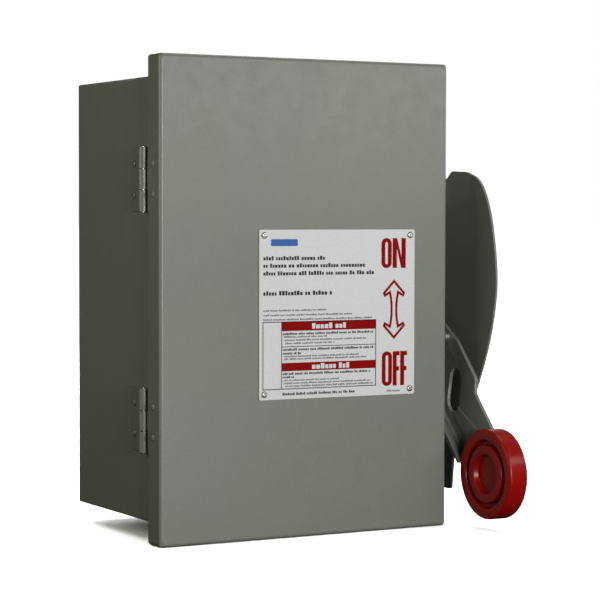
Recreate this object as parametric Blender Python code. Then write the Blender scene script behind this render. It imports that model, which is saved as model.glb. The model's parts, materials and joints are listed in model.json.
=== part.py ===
"""A side-operated, wall-mounted AC disconnect: a steel case with a hinged door, an outside lever and a
three-pole rotary switch inside.

World axes: +X is to the right (the lever's side), +Y goes into the wall and +Z is up. The origin is the
middle of the case's back face. Lengths are written in millimetres times MM, so Blender holds metres.
"""

import math

import bmesh
import bpy
from mathutils import Matrix, Vector

MM = 0.001
GAP = 0.3 * MM
ROUND_STEPS = 24

# Case and door
DEPTH = 170.9 * MM
DOOR_WIDTH = 266.5 * MM
DOOR_HEIGHT = 387.4 * MM
DOOR_FLANGE = 21.7 * MM
DOOR_SHEET = 1.5 * MM
DOOR_BEND = 3.0 * MM
CASE_SHEET = 1.9 * MM
CASE_BEND = 2.6 * MM
SIDE_INSET = 4.65 * MM
END_INSET = 16.7 * MM
DOOR_CLEARANCE = 1.5 * MM

DOOR_FRONT = -DEPTH
DOOR_INSIDE = DOOR_FRONT + DOOR_SHEET
DOOR_SIDE = DOOR_WIDTH / 2
CASE_SIDE = DOOR_SIDE - SIDE_INSET
CASE_TOP = DOOR_HEIGHT / 2 - END_INSET
CASE_FRONT = DOOR_INSIDE + DOOR_CLEARANCE
GUTTER_TOP = DOOR_HEIGHT / 2 - DOOR_SHEET - 1.2 * MM
WALL_INSIDE = CASE_SIDE - CASE_SHEET
BACK_INSIDE = -CASE_SHEET

# Hinges
HINGE_LENGTH = 51.0 * MM
KNUCKLE = HINGE_LENGTH / 3
KNUCKLE_RADIUS = 4.0 * MM
PIN_RADIUS = 1.45 * MM
PIN_BORE = 1.55 * MM
LEAF_SHEET = 1.5 * MM
HINGE_X = -(CASE_SIDE + GAP + KNUCKLE_RADIUS)
HINGE_Y = DOOR_FRONT + 31.0 * MM
HINGE_HEIGHTS = {"upper": 95.6 * MM, "lower": -95.6 * MM}
HINGE_PIVOT = (HINGE_X, HINGE_Y, 0)
CASE_RIVET_BACK = 22.0 * MM
CASE_RIVET_SPREAD = 12.5 * MM
DOOR_RIVET_FRONT = 18.5 * MM
DOOR_RIVET_SPREAD = 12.0 * MM
RIVET_SHANK = 1.8 * MM
RIVET_HOLE = 2.1 * MM

# Nameplate
PLATE_LEFT = -46.0 * MM
PLATE_RIGHT = 100.6 * MM
PLATE_BOTTOM = -81.0 * MM
PLATE_TOP = 55.8 * MM
PLATE_SHEET = 0.8 * MM
PLATE_RIVET_INSET = 4.6 * MM

# Lever, measured along it (u) and across it (v) from its pivot
PIVOT_Y = -74.4 * MM
PIVOT_Z = -12.7 * MM
PIVOT = (0, PIVOT_Y, PIVOT_Z)
OFF_ANGLE = math.radians(227)
HANDLE_TRAVEL = math.radians(94)
LEVER_SHEET = 3.0 * MM
LEVER_X = CASE_SIDE + 23.15 * MM
LEVER_FRONT_EDGE = 43.3 * MM
LEVER_NECK_EDGE = 34.0 * MM
LEVER_REAR_EDGE = -15.0 * MM
LEVER_HUB = 24.0 * MM
LEVER_FLANGE = 9.0 * MM
LEVER_TONGUE = 20.0 * MM
GRIP_U = 193.5 * MM
GRIP_V = 11.2 * MM
GRIP_RADIUS = 37.5 * MM
GRIP_WIDTH = 18.0 * MM
GRIP_X = LEVER_X - 9.0 * MM
SLOT_U = 105.5 * MM
SLOT_V = 12.6 * MM
SLOT_LENGTH = 38.0 * MM
SLOT_WIDTH = 18.5 * MM
SLOT_TILT = math.radians(101)
STUD_U = 64.0 * MM
STUD_V = 34.0 * MM

# Guard plate and the posts that stop the lever
GUARD_SHEET = 2.0 * MM
GUARD_X = CASE_SIDE + 34.65 * MM
GUARD_BACK = -40.0 * MM
GUARD_LEG_BACK = -96.0 * MM
GUARD_FOOT = 18.0 * MM
POST_RADIUS = 5.0 * MM
SHAFT_RADIUS = 7.0 * MM
SHAFT_HOLE = 7.3 * MM
SHAFT_TIP = 6.0 * MM
TIP_HOLE = 6.3 * MM

# Switch inside
AXIS_Y = -62.0 * MM
AXIS_Z = 14.0 * MM
AXIS = (0, AXIS_Y, AXIS_Z)
POLES = {"left": -60.0 * MM, "centre": 0.0, "right": 60.0 * MM}
BASE_HALF_WIDTH = 96.0 * MM
BASE_HALF_HEIGHT = 72.0 * MM
BASE_BACK = -16.0 * MM
BASE_FRONT = -28.0 * MM
BASE_SCREW_X = 84.0 * MM
BASE_SCREW_Z = 62.0 * MM
RIB_FRONT = -95.0 * MM
RIB_X = 30.0 * MM
ROTOR_RADIUS = 11.0 * MM
JOURNAL = 8.0 * MM
ROTOR_TIP = 6.0 * MM
BEARING_X = 84.0 * MM
BLADE_HALF = 30.0 * MM
BLADE_WIDTH = 8.0 * MM
BLADE_SHEET = 2.4 * MM
JAW_SHEET = 1.4 * MM
STRAP_SHEET = 2.0 * MM
STRAP_BACK = 12.0 * MM

# Linkage: crank on the lever's shaft, link and crank on the rotor form a parallelogram
CRANK_LENGTH = 18.0 * MM
CRANK_OFF_ANGLE = math.radians(202)
CRANK_X = 108.0 * MM
LINK_X = 104.0 * MM
ROTOR_CRANK_X = 100.0 * MM
ARM_SHEET = 3.0 * MM
CRANK_PIN = 3.0 * MM
CRANK_PIN_HOLE = 3.2 * MM
BRACKET_X = 113.0 * MM

# Door interlock
PAWL_Y = -105.0 * MM
PAWL_Z = 12.0 * MM
PAWL_TRAVEL = math.radians(35)
KEEPER_X = (102.0 * MM, 118.0 * MM)


# ---------------------------------------------------------------- materials


def material(name, colour, roughness, metallic):
    """A plain Principled material."""
    made = bpy.data.materials.new(name)
    made.use_nodes = True
    shader = made.node_tree.nodes["Principled BSDF"]
    shader.inputs["Base Color"].default_value = (*colour, 1)
    shader.inputs["Roughness"].default_value = roughness
    shader.inputs["Metallic"].default_value = metallic
    made.diffuse_color = (*colour, 1)
    return made


def make_materials():
    """The materials, by name."""
    return {
        "case_paint": material("case_paint", (0.17, 0.18, 0.15), 0.55, 0.0),
        "hinge_paint": material("hinge_paint", (0.13, 0.13, 0.11), 0.5, 0.0),
        "lever_paint": material("lever_paint", (0.15, 0.16, 0.135), 0.5, 0.0),
        "red_plastic": material("red_plastic", (0.22, 0.008, 0.008), 0.35, 0.0),
        "nameplate": material("nameplate", (0.52, 0.53, 0.53), 0.45, 0.0),
        "zinc": material("zinc", (0.55, 0.56, 0.55), 0.35, 1.0),
        "steel": material("steel", (0.42, 0.42, 0.41), 0.4, 1.0),
        "moulded_base": material("moulded_base", (0.03, 0.03, 0.032), 0.5, 0.0),
        "rotor_plastic": material("rotor_plastic", (0.12, 0.045, 0.02), 0.45, 0.0),
        "copper": material("copper", (0.72, 0.36, 0.2), 0.3, 1.0),
        "lug_aluminium": material("lug_aluminium", (0.75, 0.76, 0.78), 0.35, 1.0),
        "clear_shield": material("clear_shield", (0.8, 0.84, 0.86), 0.1, 0.0),
    }


# ---------------------------------------------------------------- outlines


def arc(centre, radius, start, end, steps):
    """Points on an arc, both ends included. Angles are in radians."""
    turns = [start + (end - start) * i / steps for i in range(steps + 1)]
    return [(centre[0] + radius * math.cos(a), centre[1] + radius * math.sin(a)) for a in turns]


def circle(centre, radius, steps=ROUND_STEPS):
    """A closed round outline."""
    return arc(centre, radius, 0, 2 * math.pi, steps)[:-1]


def rectangle(low, high):
    """A closed square-cornered outline."""
    return [low, (high[0], low[1]), high, (low[0], high[1])]


def stadium(centre, length, width, angle, steps=8):
    """A slot with round ends, its length along the angle."""
    radius = width / 2
    reach = length / 2 - radius
    along = (math.cos(angle), math.sin(angle))
    far = (centre[0] + reach * along[0], centre[1] + reach * along[1])
    near = (centre[0] - reach * along[0], centre[1] - reach * along[1])
    quarter = math.pi / 2
    first = arc(far, radius, angle - quarter, angle + quarter, steps)
    return first + arc(near, radius, angle + quarter, angle + 3 * quarter, steps)


def arm_outline(first, first_radius, second, second_radius, steps=8):
    """The outline of a flat arm that joins two round ends."""
    across = (second[0] - first[0], second[1] - first[1])
    heading = math.atan2(across[1], across[0])
    spread = math.acos((first_radius - second_radius) / math.hypot(*across))
    outer = arc(second, second_radius, heading - spread, heading + spread, steps)
    return outer + arc(first, first_radius, heading + spread, heading + 2 * math.pi - spread, steps)


def rounded(corners, radius, steps=3):
    """The outline with each corner cut back by an arc of this radius."""
    points = []
    count = len(corners)
    for i, corner in enumerate(corners):
        here = Vector(corner)
        before = Vector(corners[i - 1]) - here
        after = Vector(corners[(i + 1) % count]) - here
        half_turn = before.angle(after) / 2
        reach = min(radius / math.tan(half_turn), before.length * 0.45, after.length * 0.45)
        start = here + before.normalized() * reach
        end = here + after.normalized() * reach
        for step in range(steps + 1):
            t = step / steps
            points.append(tuple(start * (1 - t) ** 2 + here * (2 * t * (1 - t)) + end * t**2))
    return points


def smooth_line(points, steps=4):
    """A smooth line through hand-set points, both ends included."""
    line = [Vector(p) for p in points]
    line = [line[0]] + line + [line[-1]]
    result = []
    for a, b, c, d in zip(line, line[1:], line[2:], line[3:]):
        for step in range(steps):
            t = step / steps
            curve = 2 * b + (c - a) * t + (2 * a - 5 * b + 4 * c - d) * t**2 + (3 * b - a - 3 * c + d) * t**3
            result.append(tuple(curve / 2))
    return result + [tuple(line[-1])]


def turned_about(points, centre, angle):
    """The outline turned about a point."""
    c = math.cos(angle)
    s = math.sin(angle)
    moved = [(p[0] - centre[0], p[1] - centre[1]) for p in points]
    return [(centre[0] + x * c - y * s, centre[1] + x * s + y * c) for x, y in moved]


def lever_point(u, v):
    """The (y, z) place of a point given along and across the lever, with the lever at OFF."""
    c = math.cos(OFF_ANGLE)
    s = math.sin(OFF_ANGLE)
    return (PIVOT_Y + u * c + v * s, PIVOT_Z + u * s - v * c)


def lever_outline(points):
    """The (y, z) outline of points given along and across the lever."""
    return [lever_point(u, v) for u, v in points]


# ---------------------------------------------------------------- solids


def in_space(plane, a, b, depth):
    """The space point of (a, b) on a named plane at a depth along its normal."""
    if plane == "YZ":
        return Vector((depth, a, b))
    if plane == "XZ":
        return Vector((a, depth, b))
    return Vector((a, b, depth))


def solid_from(bm):
    """An object that holds this mesh, with its faces turned outward."""
    bmesh.ops.recalc_face_normals(bm, faces=bm.faces)
    mesh = bpy.data.meshes.new("solid")
    bm.to_mesh(mesh)
    bm.free()
    made = bpy.data.objects.new("solid", mesh)
    bpy.context.scene.collection.objects.link(made)
    return made


def prism(outline, plane, low, high, holes=()):
    """A flat piece: an outline with holes, made thick from low to high along the plane's normal."""
    bm = bmesh.new()
    edges = []
    for loop in [outline, *holes]:
        verts = [bm.verts.new(in_space(plane, a, b, low)) for a, b in loop]
        edges += [bm.edges.new((verts[i - 1], verts[i])) for i in range(len(verts))]
    if holes:
        bmesh.ops.triangle_fill(bm, edges=edges, use_beauty=True)
    else:
        bm.faces.new(bm.verts)
    raised = bmesh.ops.extrude_face_region(bm, geom=bm.faces[:])
    verts = [item for item in raised["geom"] if isinstance(item, bmesh.types.BMVert)]
    bmesh.ops.translate(bm, verts=verts, vec=in_space(plane, 0, 0, high - low))
    return solid_from(bm)


def box(low, high):
    """A square-edged block between two corners."""
    return prism(rectangle(low[:2], high[:2]), "XY", low[2], high[2])


def loft(rings, tube=False):
    """A skin over rings of points. Its two ends are capped, or joined to each other for a tube."""
    bm = bmesh.new()
    loops = [[bm.verts.new(point) for point in ring] for ring in rings]
    pairs = list(zip(loops, loops[1:]))
    if tube:
        pairs.append((loops[-1], loops[0]))
    else:
        bm.faces.new(loops[0])
        bm.faces.new(loops[-1])
    for first, second in pairs:
        for i in range(len(first)):
            bm.faces.new((first[i - 1], first[i], second[i], second[i - 1]))
    return solid_from(bm)


def turned(profile, axis, centre, tube=False, steps=ROUND_STEPS):
    """A round piece from (distance along, radius) points, about a line through centre along X, Y or Z."""
    plane = {"X": "YZ", "Y": "XZ", "Z": "XY"}[axis]
    rings = []
    for along, radius in profile:
        rings.append([in_space(plane, a, b, along) for a, b in circle(centre, radius, steps)])
    return loft(rings, tube)


def rod(axis, centre, radius, low, high, steps=ROUND_STEPS):
    """A plain round bar."""
    return turned([(low, radius), (high, radius)], axis, centre, steps=steps)


def combine(target, tools, operation):
    """Adds the tools to the target, or cuts them out of it, and removes them."""
    for tool in tools:
        modifier = target.modifiers.new(operation, "BOOLEAN")
        modifier.operation = operation
        modifier.object = tool
    shaped = target.evaluated_get(bpy.context.evaluated_depsgraph_get())
    mesh = bpy.data.meshes.new_from_object(shaped)
    target.modifiers.clear()
    target.data = mesh
    for tool in tools:
        bpy.data.objects.remove(tool)
    return target


def joined(solids):
    """One object that holds several separate solids."""
    bm = bmesh.new()
    for solid in solids:
        bm.from_mesh(solid.data)
        bpy.data.objects.remove(solid)
    return solid_from(bm)


def finish(solid, name, look, pivot=(0, 0, 0)):
    """Names a piece, gives it its material and puts its origin at its pivot."""
    mesh = solid.data
    mesh.materials.clear()
    mesh.materials.append(look)
    for polygon in mesh.polygons:
        polygon.material_index = 0
    mesh.transform(Matrix.Translation(-Vector(pivot)))
    mesh.shade_smooth()
    mesh.set_sharp_from_angle(angle=math.radians(35))
    solid.location = pivot
    solid.name = name
    mesh.name = name


# ---------------------------------------------------------------- case and door


def pan_ring(half_width, half_height, corner, y):
    """One rounded rectangle of a sheet pan."""
    corners = rectangle((-half_width, -half_height), (half_width, half_height))
    return [Vector((x, y, z)) for x, z in rounded(corners, corner, 4)]


def case_holes():
    """Cutters for the holes in the case's walls."""
    cutters = []
    for x in (-95 * MM, 95 * MM):
        for z in (-140 * MM, 140 * MM):
            cutters.append(rod("Y", (x, z), 3.6 * MM, -5 * MM, 5 * MM, 16))
    for x, end in ((-70, -1), (0, -1), (70, -1), (-45, 1), (45, 1)):
        low, high = sorted((end * (CASE_TOP - 0.7 * MM), end * (CASE_TOP + MM)))
        profile = [(low, 17.0 * MM), (high, 17.0 * MM), (high, 17.7 * MM), (low, 17.7 * MM)]
        cutters.append(turned(profile, "Z", (x * MM, DOOR_FRONT / 2), True))
    wall = (WALL_INSIDE - 3 * MM, CASE_SIDE + 3 * MM)
    cutters.append(rod("X", (PIVOT_Y, PIVOT_Z), 10.3 * MM, *wall))
    for y, z in guard_screw_places():
        cutters.append(rod("X", (y, z), 2.8 * MM, *wall, 12))
    for height in HINGE_HEIGHTS.values():
        for side in (-1, 1):
            place = (HINGE_Y + CASE_RIVET_BACK, height + side * CASE_RIVET_SPREAD)
            cutters.append(rod("X", place, RIVET_HOLE, -wall[1], -wall[0], 12))
    return cutters


def make_case(look):
    """The five-sided case, with a gutter lip turned out along its top and bottom front edges."""
    small = CASE_BEND - CASE_SHEET + 0.3 * MM
    rings = [
        pan_ring(CASE_SIDE - CASE_BEND, CASE_TOP - CASE_BEND, 2 * MM, 0),
        pan_ring(CASE_SIDE - CASE_BEND * 0.3, CASE_TOP - CASE_BEND * 0.3, 2 * MM, -CASE_BEND * 0.3),
        pan_ring(CASE_SIDE, CASE_TOP, 2 * MM, -CASE_BEND),
        pan_ring(CASE_SIDE, CASE_TOP, 2 * MM, CASE_FRONT),
        pan_ring(WALL_INSIDE, CASE_TOP - CASE_SHEET, MM, CASE_FRONT),
        pan_ring(WALL_INSIDE, CASE_TOP - CASE_SHEET, MM, BACK_INSIDE - small),
        pan_ring(WALL_INSIDE - small, CASE_TOP - CASE_SHEET - small, MM, BACK_INSIDE),
    ]
    lips = []
    for end in (-1, 1):
        near, far = sorted((end * (CASE_TOP - MM), end * GUTTER_TOP))
        low = (-CASE_SIDE + 2 * MM, CASE_FRONT + 0.2 * MM, near)
        high = (CASE_SIDE - 2 * MM, CASE_FRONT + 0.2 * MM + CASE_SHEET, far)
        lips.append(box(low, high))
    case = combine(combine(loft(rings), lips, "UNION"), case_holes(), "DIFFERENCE")
    finish(case, "case", look)


def make_door(look):
    """The door: a shallow pan whose flanges reach back over the case."""
    half = DOOR_HEIGHT / 2
    inner_bend = DOOR_BEND - DOOR_SHEET
    rings = []
    for turn in (0, 30, 60, 90):
        cut = DOOR_BEND * (1 - math.sin(math.radians(turn)))
        y = DOOR_FRONT + DOOR_BEND * (1 - math.cos(math.radians(turn)))
        rings.append(pan_ring(DOOR_SIDE - cut, half - cut, 3 * MM, y))
    rings.append(pan_ring(DOOR_SIDE, half, 3 * MM, DOOR_FRONT + DOOR_FLANGE))
    side = DOOR_SIDE - DOOR_SHEET
    top = half - DOOR_SHEET
    rings.append(pan_ring(side, top, 1.5 * MM, DOOR_FRONT + DOOR_FLANGE))
    rings.append(pan_ring(side, top, 1.5 * MM, DOOR_INSIDE + inner_bend))
    rings.append(pan_ring(side - inner_bend, top - inner_bend, 1.5 * MM, DOOR_INSIDE))
    cutters = []
    for x, z in plate_rivet_places():
        cutters.append(rod("Y", (x, z), RIVET_HOLE, DOOR_FRONT - 3 * MM, DOOR_FRONT + 5 * MM, 12))
    for height in HINGE_HEIGHTS.values():
        for end in (-1, 1):
            place = (HINGE_Y - DOOR_RIVET_FRONT, height + end * DOOR_RIVET_SPREAD)
            cutters.append(rod("X", place, RIVET_HOLE, -DOOR_SIDE - 3 * MM, -DOOR_SIDE + 4 * MM, 12))
    door = combine(loft(rings), cutters, "DIFFERENCE")
    finish(door, "door", look, HINGE_PIVOT)


def plate_rivet_places():
    """The (x, z) places of the nameplate's rivets."""
    left = PLATE_LEFT + PLATE_RIVET_INSET
    right = PLATE_RIGHT - PLATE_RIVET_INSET
    bottom = PLATE_BOTTOM + PLATE_RIVET_INSET
    top = PLATE_TOP - PLATE_RIVET_INSET
    return rectangle((left, bottom), (right, top))


def make_nameplate(plate_look, rivet_look):
    """The flat plate on the door's front and its four rivets."""
    outline = rounded(rectangle((PLATE_LEFT, PLATE_BOTTOM), (PLATE_RIGHT, PLATE_TOP)), 1.5 * MM)
    holes = [circle(place, RIVET_HOLE, 12) for place in plate_rivet_places()]
    front = DOOR_FRONT - GAP - PLATE_SHEET
    plate = prism(outline, "XZ", front, DOOR_FRONT - GAP, holes)
    finish(plate, "nameplate", plate_look, HINGE_PIVOT)
    corners = ("bottom_left", "bottom_right", "top_right", "top_left")
    for corner, place in zip(corners, plate_rivet_places()):
        finish(rivet(place, front, 2.7 * MM), f"nameplate_rivet_{corner}", rivet_look, HINGE_PIVOT)


def rivet(centre, front, head):
    """A dome-headed rivet through the nameplate and the door."""
    dome = [(1.3, 0.35), (1.1, 0.75), (0.7, 0.95), (0.0, 1.0)]
    profile = [(front - GAP - rise * MM, head * share) for rise, share in dome]
    tail = DOOR_INSIDE + GAP
    profile += [(front - GAP, RIVET_SHANK), (tail, RIVET_SHANK), (tail, head * 0.9), (tail + 0.5 * MM, head * 0.7)]
    return turned(profile, "Y", centre, steps=12)


# ---------------------------------------------------------------- hinges


def knuckle(low, high):
    """One barrel of a hinge, a short tube round the pin's axis."""
    profile = [(low, PIN_BORE), (low, KNUCKLE_RADIUS), (high, KNUCKLE_RADIUS), (high, PIN_BORE)]
    return turned(profile, "Z", (HINGE_X, HINGE_Y), True, 16)


def make_case_leaf(name, height, look):
    """The leaf on the case, with the two outer knuckles."""
    half = HINGE_LENGTH / 2
    notch = KNUCKLE / 2 + GAP
    back = HINGE_Y + 29 * MM
    inner = HINGE_Y + KNUCKLE_RADIUS + 0.7 * MM
    corners = [(HINGE_Y, half), (back, half), (back, -half), (HINGE_Y, -half)]
    corners += [(HINGE_Y, -notch), (inner, -notch), (inner, notch), (HINGE_Y, notch)]
    outline = [(y, z + height) for y, z in corners]
    holes = []
    for end in (-1, 1):
        holes.append(circle((HINGE_Y + CASE_RIVET_BACK, height + end * CASE_RIVET_SPREAD), RIVET_HOLE, 12))
    low = -CASE_SIDE - GAP - LEAF_SHEET
    leaf = prism(outline, "YZ", low, low + LEAF_SHEET, holes)
    upper = knuckle(height + KNUCKLE / 2, height + half)
    lower = knuckle(height - half, height - KNUCKLE / 2)
    finish(combine(leaf, [upper, lower], "UNION"), name, look)


def make_door_leaf(name, height, look):
    """The leaf inside the door's flange, with the middle knuckle."""
    half = HINGE_LENGTH / 2
    tab = KNUCKLE / 2 - 0.7 * MM
    front = HINGE_Y - 25 * MM
    inner = HINGE_Y - KNUCKLE_RADIUS - 0.7 * MM
    root = HINGE_Y - 2.2 * MM
    corners = [(front, half), (front, -half), (inner, -half), (inner, -tab)]
    corners += [(root, -tab), (root, tab), (inner, tab), (inner, half)]
    outline = [(y, z + height) for y, z in corners]
    holes = []
    for end in (-1, 1):
        holes.append(circle((HINGE_Y - DOOR_RIVET_FRONT, height + end * DOOR_RIVET_SPREAD), RIVET_HOLE, 12))
    low = -DOOR_SIDE + DOOR_SHEET + GAP
    leaf = prism(outline, "YZ", low, low + LEAF_SHEET, holes)
    middle = knuckle(height - tab, height + tab)
    finish(combine(leaf, [middle], "UNION"), name, look, HINGE_PIVOT)


def make_hinges(looks):
    """Two butt hinges with their pins."""
    paint = looks["hinge_paint"]
    for label, height in HINGE_HEIGHTS.items():
        make_case_leaf(f"{label}_hinge_case_leaf", height, paint)
        make_door_leaf(f"{label}_hinge_door_leaf", height, paint)
        half = HINGE_LENGTH / 2 + 0.8 * MM
        pin = rod("Z", (HINGE_X, HINGE_Y), PIN_RADIUS, height - half, height + half, 16)
        finish(pin, f"{label}_hinge_pin", looks["steel"])


# ---------------------------------------------------------------- lever and guard


def tongue_points(grow):
    """The lever's end that goes into the grip, made larger all round by grow."""
    end = arc((GRIP_U, GRIP_V), LEVER_TONGUE + grow, -math.pi / 2, math.pi / 2, 8)
    rear = (GRIP_U - 22 * MM, LEVER_REAR_EDGE - grow)
    front = (GRIP_U - 22 * MM, LEVER_NECK_EDGE + grow)
    return [rear, *end, front]


def make_lever(looks):
    """The flat lever with a stiffening flange turned in along its lower edge."""
    hub = arc((0, 0), LEVER_HUB, math.radians(110), math.radians(265), 10)
    tongue = tongue_points(0)
    shoulder = [(127 * MM, LEVER_NECK_EDGE), (118 * MM, LEVER_FRONT_EDGE), (76 * MM, LEVER_FRONT_EDGE)]
    front_edge = rounded([tongue[-1], *shoulder, hub[0]], 4 * MM)[4:-4]
    outline = [*hub, (34 * MM, LEVER_REAR_EDGE), *tongue, *front_edge]
    slot = stadium(lever_point(SLOT_U, SLOT_V), SLOT_LENGTH, SLOT_WIDTH, SLOT_TILT)
    holes = [circle((PIVOT_Y, PIVOT_Z), SHAFT_HOLE), slot, circle(lever_point(STUD_U, STUD_V), 3.3 * MM, 16)]
    outer = LEVER_X + LEVER_SHEET
    plate = prism(lever_outline(outline), "YZ", LEVER_X, outer, holes)
    corners = rectangle((34 * MM, LEVER_REAR_EDGE), (162 * MM, LEVER_REAR_EDGE + LEVER_SHEET))
    flange = prism(lever_outline(corners), "YZ", LEVER_X - LEVER_FLANGE, outer - 0.5 * MM)
    finish(combine(plate, [flange], "UNION"), "handle_lever", looks["lever_paint"], PIVOT)
    head = [(-5, 5.2), (-4.4, 6.3), (0, 6.3), (0, 3.0), (6.2, 3.0)]
    profile = [(LEVER_X - GAP + along * MM, radius * MM) for along, radius in head]
    stud = turned(profile, "X", lever_point(STUD_U, STUD_V), steps=16)
    finish(stud, "lever_stud", looks["zinc"], PIVOT)


def grip_profile():
    """The grip's (distance along, radius) profile, from the recess in its inner face round to the outer."""
    inner_face = [(4.5, 15.2), (0.6, 16.4), (0, 17.2), (0, 23.2), (0.6, 24.0), (5.5, 24.4), (5.5, 28.0)]
    inner_face += [(0.7, 28.6), (0, 29.6), (0, 35.8), (0.6, 37.0), (1.7, GRIP_RADIUS / MM)]
    face = [(GRIP_X + along * MM, radius * MM) for along, radius in inner_face]
    far = GRIP_X + GRIP_WIDTH
    outer_face = [(1.7, GRIP_RADIUS / MM), (0.6, 37.0), (0, 35.8), (0, 29.6), (3.0, 28.0), (3.0, 9.0)]
    return face + [(far - along * MM, radius * MM) for along, radius in outer_face]


def make_grip(looks):
    """The red disc grip, pocketed for the lever's tongue, and the screw that holds it."""
    centre = lever_point(GRIP_U, GRIP_V)
    disc = turned(grip_profile(), "X", centre, steps=32)
    mouth = GRIP_U - GRIP_RADIUS - 5 * MM
    grow = 0.4 * MM
    pocket = [(mouth, LEVER_REAR_EDGE - grow), *tongue_points(grow), (mouth, LEVER_NECK_EDGE + grow)]
    low = LEVER_X - grow
    cutter = prism(lever_outline(pocket), "YZ", low, LEVER_X + LEVER_SHEET + grow)
    finish(combine(disc, [cutter], "DIFFERENCE"), "handle_grip", looks["red_plastic"], PIVOT)
    base = GRIP_X + GRIP_WIDTH - 3 * MM + GAP
    profile = [(base, 5.5 * MM), (base + 1.6 * MM, 5.5 * MM), (base + 2.6 * MM, 3.6 * MM)]
    finish(turned(profile, "X", centre, steps=16), "grip_screw", looks["zinc"], PIVOT)


def make_shaft(looks):
    """The lever's shaft, its bush in the case wall, the collar and the end nut."""
    centre = (PIVOT_Y, PIVOT_Z)
    collar_low = CASE_SIDE + 5.0 * MM
    guard_in = GUARD_X - GAP
    steps = [(CRANK_X - GAP, SHAFT_RADIUS), (collar_low, SHAFT_RADIUS), (collar_low, 11 * MM)]
    steps += [(LEVER_X - GAP, 11 * MM), (LEVER_X - GAP, SHAFT_RADIUS), (guard_in - 2 * MM, SHAFT_RADIUS)]
    steps += [(guard_in - 2 * MM, SHAFT_TIP), (GUARD_X + 9 * MM, SHAFT_TIP)]
    finish(turned(steps, "X", centre), "handle_shaft", looks["steel"], PIVOT)
    outer = LEVER_X + LEVER_SHEET + GAP
    profile = [(outer, SHAFT_HOLE), (outer, 11 * MM), (guard_in - 3 * MM, 11 * MM), (guard_in - 3 * MM, SHAFT_HOLE)]
    finish(turned(profile, "X", centre, True), "shaft_collar", looks["steel"], PIVOT)
    low = WALL_INSIDE - 1.2 * MM
    lip = CASE_SIDE + GAP
    profile = [(low, SHAFT_HOLE), (low, 10 * MM), (lip, 10 * MM), (lip, 14 * MM)]
    profile += [(lip + 4 * MM, 13 * MM), (lip + 4 * MM, SHAFT_HOLE)]
    finish(turned(profile, "X", centre, True), "shaft_bush", looks["zinc"])
    face = GUARD_X + GUARD_SHEET + GAP
    nut = prism(circle(centre, 10.5 * MM, 6), "YZ", face, face + 5 * MM, [circle(centre, TIP_HOLE)])
    finish(nut, "shaft_nut", looks["zinc"], PIVOT)


def guard_outline():
    """The guard plate's (y, z) outline: a bowed front edge, a cut top corner and a lower leg."""
    front = [(-154, 104.5), (-171, 98.5), (-182, 87), (-190.5, 68), (-196.5, 45), (-199.7, 20), (-199, 0)]
    front += [(-193.5, -26), (-184, -53), (-171.5, -79)]
    bow = smooth_line([(y * MM, z * MM) for y, z in front], 3)
    leg = [(-165, -86), (-136, -142), (-133, -169), (GUARD_LEG_BACK / MM, -169.5)]
    leg += [(GUARD_LEG_BACK / MM, -122), (GUARD_BACK / MM, -60), (GUARD_BACK / MM, 72), (-62, 85)]
    leg += [(-125, 99.3), (-132, 105.3)]
    return bow + [(y * MM, z * MM) for y, z in leg]


def guard_screw_places():
    """The (y, z) places of the screws in the guard's two feet."""
    upper = GUARD_BACK + GUARD_FOOT * 0.6
    lower = GUARD_LEG_BACK + GUARD_FOOT * 0.6
    return [(upper, 55 * MM), (upper, -42 * MM), (lower, -132 * MM), (lower, -160 * MM)]


def guard_foot(back, low, high):
    """A web from the guard plate to the case wall with a foot turned back along the wall."""
    wall = CASE_SIDE + GAP
    outer = GUARD_X + GUARD_SHEET - 0.4 * MM
    ahead = back - GUARD_SHEET
    profile = [(outer, ahead), (outer, back), (wall + GUARD_SHEET, back), (wall + GUARD_SHEET, back + GUARD_FOOT)]
    profile += [(wall, back + GUARD_FOOT), (wall, ahead)]
    return prism(profile, "XY", low, high)


def make_guard(looks):
    """The fixed guard plate outside the lever and the two posts that stop the lever."""
    lock = stadium(lever_point(SLOT_U + MM, SLOT_V + 1.1 * MM), SLOT_LENGTH + 2 * MM, 16 * MM, SLOT_TILT)
    holes = [circle((PIVOT_Y, PIVOT_Z), TIP_HOLE), lock]
    plate = prism(guard_outline(), "YZ", GUARD_X, GUARD_X + GUARD_SHEET, holes)
    feet = [guard_foot(GUARD_BACK, -60 * MM, 72 * MM), guard_foot(GUARD_LEG_BACK, -169 * MM, -122 * MM)]
    wall = CASE_SIDE + GAP
    guard = combine(plate, feet, "UNION")
    drills = [rod("X", place, 2.8 * MM, wall - MM, wall + 5 * MM, 12) for place in guard_screw_places()]
    finish(combine(guard, drills, "DIFFERENCE"), "guard_plate", looks["lever_paint"])
    reach = (wall, GUARD_X - GAP)
    off_place = lever_point(60 * MM, LEVER_REAR_EDGE - GAP - POST_RADIUS)
    ahead = lever_point(84 * MM, LEVER_FRONT_EDGE + GAP + POST_RADIUS)
    on_place = turned_about([ahead], (PIVOT_Y, PIVOT_Z), -HANDLE_TRAVEL)[0]
    for name, place in (("off_stop_post", off_place), ("on_stop_post", on_place)):
        finish(rod("X", place, POST_RADIUS, *reach, 16), name, looks["zinc"])


# ---------------------------------------------------------------- mechanism


def crank_tip(centre):
    """The place of a crank's pin at OFF, for a crank that turns about centre."""
    reach = CRANK_LENGTH
    return (centre[0] + reach * math.cos(CRANK_OFF_ANGLE), centre[1] + reach * math.sin(CRANK_OFF_ANGLE))


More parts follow.
